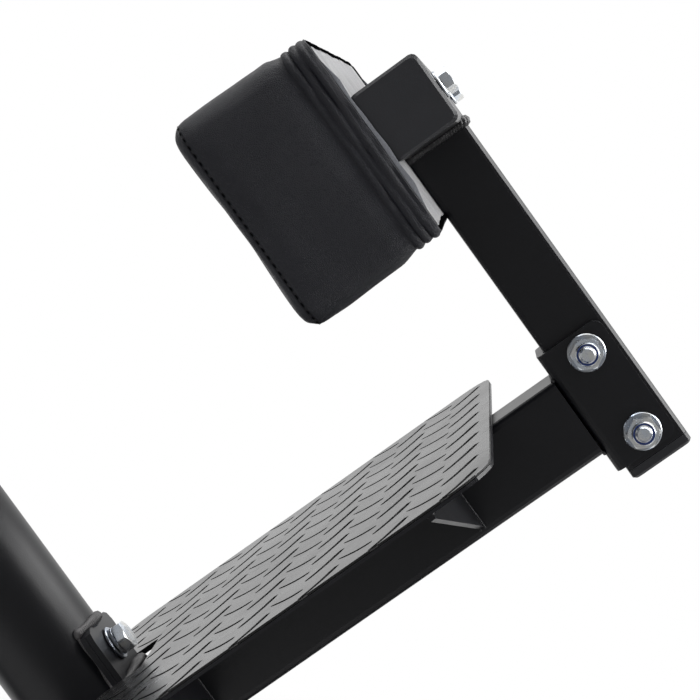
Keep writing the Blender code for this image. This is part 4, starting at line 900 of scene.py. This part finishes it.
def weldBead(name, paths, look="weld", body="frame", at=benchFrame):
    radius, pitch, wander = beads[name]
    bm = bmesh.new()
    lean = Matrix.Rotation(math.radians(24), 4, "X")
    for number, path in enumerate(paths):
        points = [Vector(p) for p in path]
        travelled = 0.0
        for start, end in zip(points, points[1:]):
            run = end - start
            steps = max(1, round(run.length / pitch))
            turn = run.to_track_quat("Z", "Y").to_matrix().to_4x4()
            for step in range(steps):
                thick = radius * (1.0 + wander * ripple(travelled + step * pitch, number + len(name)))
                place = Matrix.Translation(start + run * (step / steps))
                stamp(bm, drops["weld"], place @ turn @ lean
                      @ Matrix.Diagonal((thick, thick, pitch * 1.25, 1.0)))
            travelled += run.length
    finishPiece(name, bm, look, body, at=at, sharp=60.0)


def squarePath(axis, at, middle, half):
    # Round a square tube that runs along axis, at one place on it.
    path = []
    for place, out in roundedLoop(2 * half, 2 * half, 0.003, 3, 1.0):
        spot = [middle[0] + place.x, middle[1] + place.y]
        spot.insert("xyz".index(axis), at)
        path.append(spot)
    return path + path[:1]


def endPath(name, chosen, grow):
    # Round the outer edge of a node's end: the chosen points, in order round their middle.
    spots = [spot for spot in inBench(name) if chosen(spot)]
    middle = sum(spots, Vector()) / len(spots)
    first = (spots[0] - middle).normalized()
    away = max(spots, key=lambda spot: (spot - middle).normalized().cross(first).length) - middle
    second = first.cross(away).normalized().cross(first)
    around = {}
    for spot in spots:
        off = spot - middle
        angle = round(math.degrees(math.atan2(off.dot(second), off.dot(first))) / 6)
        if angle not in around or off.length > around[angle].length:
            around[angle] = off
    reach = max(off.length for off in around.values())
    path = [middle + around[key] * (1 + grow / reach) for key in sorted(around)
            if around[key].length > 0.66 * reach]
    return path + path[:1]


def beside(way, reach, along, levels):
    return [(along, way * reach, level) for level in levels]


postLow, postHigh = spanOf("post_tube")
postMiddle = ((postLow.x + postHigh.x) / 2, (postLow.y + postHigh.y) / 2)
beamLow, beamHigh = spanOf("foot_beam")
beamMiddle = ((beamLow.y + beamHigh.y) / 2, (beamLow.z + beamHigh.z) / 2)
beamHalf = (beamHigh.z - beamLow.z) / 2
platesLow, platesHigh = spanOf("mast_flange_plate")
mastSpots = inBench("mast_tube")
mastTop = max(spot.z for spot in mastSpots)
topLow, topHigh = cornersOf([spot for spot in mastSpots if spot.z > mastTop - 0.001])
mastAxisU, mastRadius = (topLow.x + topHigh.x) / 2, (topHigh.y - topLow.y) / 2
weldBead("postWeld", [squarePath("z", tubeLow.z - 0.0008, postMiddle, 0.0198)])
flatEnds = [[(beamHigh.x + 0.0002, way * (beamHalf - 0.004), beamMiddle[1] + up * (beamHalf + 0.0002))
             for way in (-1, 1)] for up in (-1, 1)]
weldBead("bracketWeld", flatEnds)
weldBead("beamFlangeWeld", [squarePath("x", beamLow.x + 0.0010, beamMiddle, beamHalf + 0.0010)],
         "weldBright")
mastPaths = []
beadRadius = mastRadius + 0.0006
for level in (platesHigh.z + 0.0012, platesLow.z - 0.0012):
    turns = [math.radians(-40 + 5 * step) for step in range(17)]
    mastPaths.append([(mastAxisU + beadRadius * math.cos(turn), beadRadius * math.sin(turn), level)
                      for turn in turns])
notchSide = math.sqrt(mastRadius ** 2 - (platesLow.x - mastAxisU) ** 2) + 0.0012
mastPaths += [beside(way, notchSide, platesLow.x - 0.0004, (platesLow.z, platesHigh.z)) for way in (-1, 1)]
weldBead("mastFlangeWeld", mastPaths, "weldBright")
gussetPaths = []
for end in ("front", "rear"):
    for side in ("left", "right"):
        low, high = spanOf("gusset_" + end + "_" + side)
        root, tip = sorted((low.y, high.y), key=abs)
        for face in (low.x, high.x):
            gussetPaths += [[(face, root, low.z), (face, root, high.z)],
                            [(face, root, high.z - 0.0005), (face, tip, high.z - 0.0005)]]
weldBead("gussetWelds", gussetPaths, "powderCoat")
print("foot end welded")
railLow, railHigh = floorSpan("base_rail")
railPaths = []
for end in (railLow.x - 0.0003, railHigh.x + 0.0003):
    railPaths.append([(end, way * railHigh.y, level) for way, level in (
        (-1, railLow.z), (-1, railHigh.z), (1, railHigh.z), (1, railLow.z))])
weldBead("baseRailWeld", railPaths, at=floorFrame)
strutLow, strutHigh = spanOf("front_strut")
floorTop = railHigh.z + 0.0012
weldBead("strutFootWeld", [endPath("front_strut", lambda spot: (benchFrame @ spot).z < floorTop, 0.0004)])
saddle = []
for level in (strutLow.z - 0.0006, strutHigh.z + 0.0006):
    sides = [strutHigh.y * k / 6 for k in range(-6, 7)]
    saddle.append([(mastAxisU - math.sqrt(mastRadius ** 2 - y ** 2) - 0.0004, y, level) for y in sides])
strutSide = mastAxisU - math.sqrt(mastRadius ** 2 - strutHigh.y ** 2)
saddle += [beside(way, strutHigh.y + 0.0006, strutSide, (strutLow.z, strutHigh.z)) for way in (-1, 1)]
weldBead("strutHeadWeld", saddle)
headLow, headHigh = spanOf("inner_tube")
padLow, padHigh = spanOf("pad_frame")
barLow, barHigh = spanOf("handle_bar")
headAxisU, headRadius = (headLow.x + headHigh.x) / 2, headHigh.y
barLevel = (barLow.z + barHigh.z) / 2
ribRoot = headAxisU + headRadius * 0.75
ribSide = math.sqrt(headRadius ** 2 - (ribRoot - headAxisU) ** 2) + 0.006
ribPaths = [beside(way, ribSide, ribRoot, (padLow.z + 0.034, padHigh.z - 0.034)) for way in (-1, 1)]
ribPaths += [[(headAxisU - headRadius - 0.0004, -0.013, barLevel + up),
              (headAxisU - headRadius - 0.0012, 0.013, barLevel + up)] for up in (-0.0085, 0.0085)]
weldBead("padFrameWeld", ribPaths, body="carriage")

# The hip pads' screws, from behind through the pad frame
hipScrew = {"out": 0.085, "edge": 0.030, "radius": 0.0058, "tall": 0.0036, "socket": 0.0021,
            "plate": 0.0050, "flange": 0.0080}
screws = bmesh.new()
tall, socket, rim = hipScrew["tall"], hipScrew["socket"], hipScrew["radius"]
for way in (-1, 1):
    for level in (padLow.z + hipScrew["edge"], padHigh.z - hipScrew["edge"]):
        head = lathe([(0, tall - 0.0020), (socket, tall - 0.0018), (socket, tall), (0.0034, tall - 0.0002),
                      (0.0048, tall - 0.0011), (rim, 0.0014), (rim, 0.0012), (hipScrew["flange"], 0.0011),
                      (hipScrew["flange"], 0.0002), (0, 0)], 32)
        place = (padHigh.x - hipScrew["plate"], way * hipScrew["out"], level)
        joinInto(screws, movedBy(head, fromAxis(fromX, place)))
finishPiece("hipPadScrews", screws, "zinc", "carriage", sharp=40.0)
plugWall = headRadius * 0.96
plug = lathe([(0, 0.0022), (headRadius * 0.72, 0.0020), (headRadius * 0.90, 0.0014), (plugWall, 0.0004),
              (plugWall, 0.0001), (0, 0.0001)], 40)
finishPiece("headPlug", plug, "plastic", "carriage", sharp=40.0,
            at=inFrame(alongZ, (headAxisU, 0, headHigh.z)))
print("bench welded")


# The footplate's mat, with its curved grooves cut through most of its thickness
tread = {"columns": 16, "rows": 10, "column": 0.0216, "pitch": 0.0416, "rear": 0.0085, "side": 0.0217,
         "slopes": (-0.034, 0.0045), "bend": 0.013, "widths": (0.0031, 0.0026), "thin": (0.1, 0.62),
         "depth": 0.0010, "land": -0.015, "margin": 0.0012, "corner": 0.022, "clear": 0.0075, "bolts": 0.0148}


def onMat(place, low, high):
    # On the mat, and clear of its rounded corners and of its notch round the flange and the mast.
    u, y, margin = place.x, place.y, tread["margin"]
    if not low.x + margin < u < high.x - margin or abs(y) > high.y + 0.004:
        return False
    across = abs(y) - (high.y - tread["corner"])
    along = max(u - high.x, low.x - u) + tread["corner"]
    if across > 0 and along > 0 and math.hypot(across, along) > tread["corner"] - margin:
        return False
    plate = spanOf("beam_flange_plate")[1]
    if abs(y) < plate.y + tread["clear"] + margin and u < plate.x + tread["bolts"] + margin:
        return False
    return math.hypot(u - mastAxisU, y) > mastRadius + tread["clear"] + margin


def addGroove(tools, kind, line, start, low, high):
    span = 1 - 2 * tread["land"]

    def point(share):
        return Vector((line - tread["column"] * share,
                       start + tread["slopes"][kind] * share + tread["bend"] * share ** 2, 0))

    shares = [tread["land"] + span * step / 32 for step in range(33)]
    kept = [share for share in shares if onMat(point(share), low, high)]
    if len(kept) < 14 or kept[-1] - kept[0] > (len(kept) - 0.5) * span / 32:
        return
    places = [point(kept[0] + (kept[-1] - kept[0]) * step / 8) for step in range(9)]
    left, right = [], []
    for i, place in enumerate(places):
        along = (places[min(8, i + 1)] - places[max(0, i - 1)]).normalized()
        half = tread["widths"][kind] * (1 - tread["thin"][kind] * i / 8) * (0.6 if i in (0, 8) else 1.0)
        side = Vector((-along.y, along.x, 0)) * half
        left.append(place + side)
        right.append(place - side)
    outline = [tools.verts.new((p.x, p.y, high.z - tread["depth"])) for p in left + right[::-1]]
    raised = bmesh.ops.extrude_face_region(tools, geom=[tools.faces.new(outline)])["geom"]
    bmesh.ops.translate(tools, vec=(0, 0, tread["depth"] + 0.0006),
                        verts=[g for g in raised if isinstance(g, bmesh.types.BMVert)])


def makeTreadMat():
    low, high = spanOf("tread_mat")
    body = bmesh.new()
    body.from_mesh(cadNodes["footplate"].data)
    mergeVerts(movedBy(body, benchFrame.inverted()), 0.00001)
    plateMiddle = sum(spanOf("footplate"), Vector()).z / 2
    for vert in body.verts:
        vert.co.z = high.z if vert.co.z > plateMiddle else low.z
    tools = bmesh.new()
    for column in range(tread["columns"]):
        line = high.x - tread["rear"] - tread["column"] * (column - 1)
        for row in range(tread["rows"]):
            start = tread["side"] + low.y + tread["pitch"] * row
            addGroove(tools, (column + 1) % 2, line, start, low, high)
    finishPiece("treadMat", carve(body, tools, "DIFFERENCE"), "tread", "frame", ["tread_mat"],
                sharp=0.0)


makeTreadMat()
print("tread mat made")


# Round CAD parts, shaded smooth: on a straight tube each skin normal points away from its axis
def smoothCopy(node, body, slot, finish, sharp=32.0):
    bm = bmesh.new()
    bm.from_mesh(cadNodes[node].data)
    return finishPiece(camel(node), mergeVerts(bm, 0.00001), finish, body, [node], floorFrame, sharp)


def roundSkin(piece, middle, axis):
    mesh = piece.data
    normals = []
    for face in mesh.polygons:
        for corner in face.loop_indices:
            off = mesh.vertices[mesh.loops[corner].vertex_index].co - middle
            radial = (off - axis * off.dot(axis)).normalized()
            facing = radial.dot(face.normal)
            normals.append(radial * math.copysign(1.0, facing) if abs(facing) > 0.975
                           else face.normal.copy())
    mesh.normals_split_custom_set(normals)


mastLine = benchFrame @ Vector((mastAxisU, 0, 0))
mastWay = (benchFrame.to_3x3() @ Vector((0, 0, 1))).normalized()
for straight in (("mast_tube", "frame", "powder_coat", "powderCoat"),
                 ("mast_collar", "frame", "plastic", "plastic"),
                 ("inner_tube", "carriage", "chrome", "chrome")):
    roundSkin(smoothCopy(*straight), mastLine, mastWay)
smoothCopy("handle_bar", "carriage", "powder_coat", "powderCoat")
smoothCopy("pin_spring", "frame", "spring_steel", "spring", 60.0)
print("round parts smoothed")


def underside(half):
    return [(radius, -height) for radius, height in reversed(half)]


# Transport wheels: a tyre with grooves and a moulded hub with spokes
wheel = {"rib": 0.0011, "ribs": 5, "spokes": 6, "bore": 0.0081, "spoke": 0.0026}


def makeWheel(side):
    node = "wheel_" + side
    low, high = floorSpan(node)
    middle, wide, radius = (low + high) / 2, (high.y - low.y) / 2, (high.x - low.x) / 2
    wall = [(radius * 0.60, wide - 0.0030), (radius * 0.66, wide - 0.0008), (radius * 0.86, wide - 0.0006),
            (radius - 0.0028, wide - 0.0014), (radius - 0.0006, wide - 0.0040)]
    ribs = []
    for rib in range(wheel["ribs"]):
        across = (wide - 0.0055) * (1 - 2 * (rib + 0.5) / wheel["ribs"])
        for off, deep in ((0.0008, 0.0), (0.0005, wheel["rib"]), (-0.0005, wheel["rib"]), (-0.0008, 0.0)):
            ribs.append((radius - deep, across + off))
    at = Matrix.Translation(middle) @ Matrix.Rotation(math.radians(-90), 4, "X")
    finishPiece("wheelTyre" + side.capitalize(), lathe(wall + ribs + underside(wall), 56, True), "rubber",
                node, [node], at)
    rim, bore = radius * 0.605, wheel["bore"]
    wall = [(bore, wide - 0.0002), (bore + 0.0034, wide - 0.0002), (bore + 0.0040, wide - 0.0010),
            (bore + 0.0042, wide - 0.0042), (rim - 0.0030, wide - 0.0052), (rim - 0.0026, wide - 0.0016),
            (rim, wide - 0.0012)]
    hub = lathe(wall + underside(wall), 48, True)
    root = bore + 0.0038
    reach = (rim - 0.0026 - root) / 2
    for spoke in range(wheel["spokes"]):
        turn = Matrix.Rotation(2 * math.pi * spoke / wheel["spokes"], 4, "Z")
        bar = bmesh.ops.create_cube(hub, size=1.0)["verts"]
        bmesh.ops.transform(hub, verts=bar, matrix=turn @ Matrix.Translation((root + reach, 0, 0))
                            @ Matrix.Diagonal((2 * reach + 0.0008, wheel["spoke"], 2 * wide - 0.0050, 1.0)))
    finishPiece("wheelHub" + side.capitalize(), hub, "plastic", node, at=at)


for side in ("left", "right"):
    makeWheel(side)
print("wheels made")

# Handle grips: foam sleeves with rounded ends and fine rings
grip = {"rings": 22, "deep": 0.0007, "round": 0.0035, "closed": 0.004, "bar": 0.0137}


def makeGrip(side):
    low, high = spanOf("grip_" + side)
    along = 0 if high.x - low.x > high.z - low.z else 2
    radius, half, bend = (high.y - low.y) / 2, (high[along] - low[along]) / 2, grip["round"]
    end = [(radius - bend, half), (radius - 0.0010, half - 0.0010), (radius, half - bend)]
    rings = []
    span = half - bend - 0.004
    for ring in range(grip["rings"]):
        level = span - 2 * span * (ring + 0.5) / grip["rings"]
        rings += [(radius, level + 0.0011), (radius - grip["deep"], level + 0.0003),
                  (radius - grip["deep"], level - 0.0003), (radius, level - 0.0011)]
    # The free end, at +half, is closed; the bar enters at the other.
    mouth = [(grip["bar"], -half), (grip["bar"], half - grip["closed"]), (0, half - grip["closed"])]
    bm = lathe([(0, half)] + end + rings + underside(end) + mouth, 44)
    finishPiece("handleGrip" + side.capitalize(), bm, "rubber", "carriage", ["grip_" + side],
                inFrame(alongZ if along else alongX, (low + high) / 2), 40.0)


for side in ("left", "right"):
    makeGrip(side)
print("grips made")

# The height lock: a plunger with a fluted knob on its rod
pullKnob = {"flutes": 20, "deep": 0.0007, "rod": 0.005, "long": 0.024, "collar": 0.0213,
            "wide": 0.0068}


def makeKnob():
    low, high = spanOf("pull_pin")
    at = inFrame(fromY, ((low.x + high.x) / 2, 0.0, (low.z + high.z) / 2))
    radius, start, end = (high.z - low.z) / 2, -low.y - pullKnob["long"], -low.y
    levels = [(start, 0.60, 0), (start + 0.0006, 0.63, 0), (start + 0.0100, 0.70, 0),
              (start + 0.0135, 0.90, 0), (start + 0.0150, 0.985, 1), (start + 0.0160, 1.0, 1),
              (end - 0.0028, 1.0, 1), (end - 0.0018, 0.985, 1), (end - 0.0006, 0.88, 0), (end, 0.80, 0),
              (end - 0.0004, 0.45, 0), (end - 0.0004, 0.0, 0)]
    steps = pullKnob["flutes"] * 6
    rings = []
    for level, share, fluted in levels:
        ring = []
        for step in range(steps):
            angle = 2 * math.pi * step / steps
            dent = pullKnob["deep"] * fluted * (0.5 - 0.5 * math.cos(angle * pullKnob["flutes"])) ** 2
            reach = radius * share - dent
            ring.append((reach * math.cos(angle), reach * math.sin(angle), level))
        rings.append(ring)
    finishPiece("pullKnob", ringSkin(rings), "plastic", "pull_pin", ["pull_pin"], at, 40.0)
    rod, wide, tip = pullKnob["rod"], pullKnob["wide"], -high.y
    top = tip + pullKnob["collar"]
    pin = lathe([(0, tip), (rod * 0.55, tip), (rod * 0.72, tip + 0.0004), (rod, tip + 0.0030),
                 (rod, top - 0.0030), (wide - 0.0002, top - 0.0028), (wide, top - 0.0024),
                 (wide, top - 0.0004), (wide - 0.0002, top), (rod, top), (rod, start + 0.0002),
                 (0, start + 0.0002)], 40)
    finishPiece("pullRod", pin, "chrome", "pull_pin", at=at)


makeKnob()
print("pull-pin made")

# Studio: floor, backdrop, lamps and camera
studio = {"floorReach": 40.0, "floorColour": (0.80, 0.80, 0.80), "shadow": (0.75, 0.5), "fade": 0.35,
          "diffuseLevel": 0.62, "glossyBright": 1.0, "glossyDark": 0.28, "boxLevel": 11.0,
          "boxFade": (0.0, 0.75), "boxEdge": (0.57, 0.74)}
paleWhite = (1, 1, 1, 1)


def makeFloor():
    bm = bmesh.new()
    bmesh.ops.create_grid(bm, x_segments=1, y_segments=1, size=studio["floorReach"])
    floor = addObject("studioFloor", meshOf(bm, "studioFloor"))
    floor.location = (0, 0, -0.0005)
    net = startMaterial("paleFloor", Roughness=0.9, Specular_IOR_Level=0.2,
                        Base_Color=(*studio["floorColour"], 1.0))
    place = net.place(False, (1.0 / studio["shadow"][0], 1.0 / studio["shadow"][1], 1.0))
    length = net.add("VectorMath", place, operation="LENGTH").outputs["Value"]
    far = net.spread(length, 1.0, 1.0 + studio["fade"])
    seen = net.add("LightPath").outputs
    rays = net.math("MAXIMUM", seen["Is Camera Ray"],
                    net.math("MAXIMUM", seen["Is Glossy Ray"], seen["Is Transmission Ray"]))
    # What the finishes mirror of the floor is white behind the bench and dim in front of it.
    mirrored = net.spread(net.split(net.place())["Y"], -1.0, 0.8, studio["glossyDark"],
                          studio["glossyBright"])
    white = net.add("Emission", Color=paleWhite,
                    Strength=net.math("MAXIMUM", seen["Is Camera Ray"], mirrored)).outputs[0]
    mix = net.add("MixShader", net.math("MULTIPLY", far, rays),
                  net.tree.nodes["Principled BSDF"].outputs[0], white)
    net.feed(mix.outputs[0], net.tree.nodes["Material Output"].inputs["Surface"])
    floor.data.materials.append(net.material)


def makeWorld():
    world = bpy.data.worlds.new("paleStudio")
    world.use_nodes = True
    bpy.context.scene.world = world
    world.node_tree.nodes.clear()
    net = Net(world.node_tree)
    seen = net.add("LightPath").outputs
    toward = net.split(net.coords("Generated"))
    # The room is white behind the bench and dim behind the camera, for what the finishes mirror.
    behind = net.math("MULTIPLY_ADD", toward["Z"], 0.35, toward["Y"])
    mirrored = net.spread(behind, -0.45, 0.30, studio["glossyDark"], studio["glossyBright"])
    # A tall soft box stands to the right of the camera.
    box = net.math("MULTIPLY", net.spread(net.math("ADD", toward["X"], toward["Y"]), *studio["boxEdge"]),
                   net.spread(toward["Z"], -0.20, 0.05))
    lit = net.spread(toward["Y"], *studio["boxFade"], studio["boxLevel"], studio["glossyBright"])
    mirrored = net.math("MAXIMUM", mirrored, net.math("MULTIPLY", box, lit))
    level = net.level(seen["Is Glossy Ray"], studio["diffuseLevel"], mirrored)
    background = net.add("Background", Color=paleWhite,
                         Strength=net.level(seen["Is Camera Ray"], level, 1.0)).outputs[0]
    net.feed(background, net.add("OutputWorld").inputs["Surface"])


def addLamp(name, place, aim, size, power, mirrored=False):
    data = bpy.data.lights.new(name, "AREA")
    data.shape, data.size, data.size_y, data.energy = "RECTANGLE", *size, power
    lamp = addObject(name, data)
    lamp.location = place
    lamp.rotation_euler = (Vector(aim) - Vector(place)).to_track_quat("-Z", "Y").to_euler()
    lamp.visible_camera = False
    lamp.visible_glossy = mirrored


makeFloor()
makeWorld()
addLamp("topBox", (0.1, 0.5, 2.7), (0.2, 0.0, 0.3), (2.2, 1.6), 38.0, True)
addLamp("frontBox", (-1.3, -2.2, 1.7), (0.3, 0.0, 0.45), (1.1, 1.1), 14.0)
addLamp("rightBox", (2.3, -0.9, 1.5), (0.4, 0.0, 0.45), (0.8, 1.4), 10.0)

lens = {"place": (0.45747178, -1.19405841, 0.50359806), "turn": (84.03178571, 0.83246826, 3.69201653),
        "focal": 106.588}
cameraData = bpy.data.cameras.new("photoCamera")
cameraData.lens, cameraData.sensor_width = lens["focal"], 36.0
cameraData.clip_start, cameraData.clip_end = 0.02, 200.0
camera = addObject("photoCamera", cameraData)
camera.location = lens["place"]
camera.rotation_euler = [math.radians(a) for a in lens["turn"]]
bpy.context.scene.camera = camera
bpy.context.scene.view_settings.view_transform = "Standard"
print("studio ready")
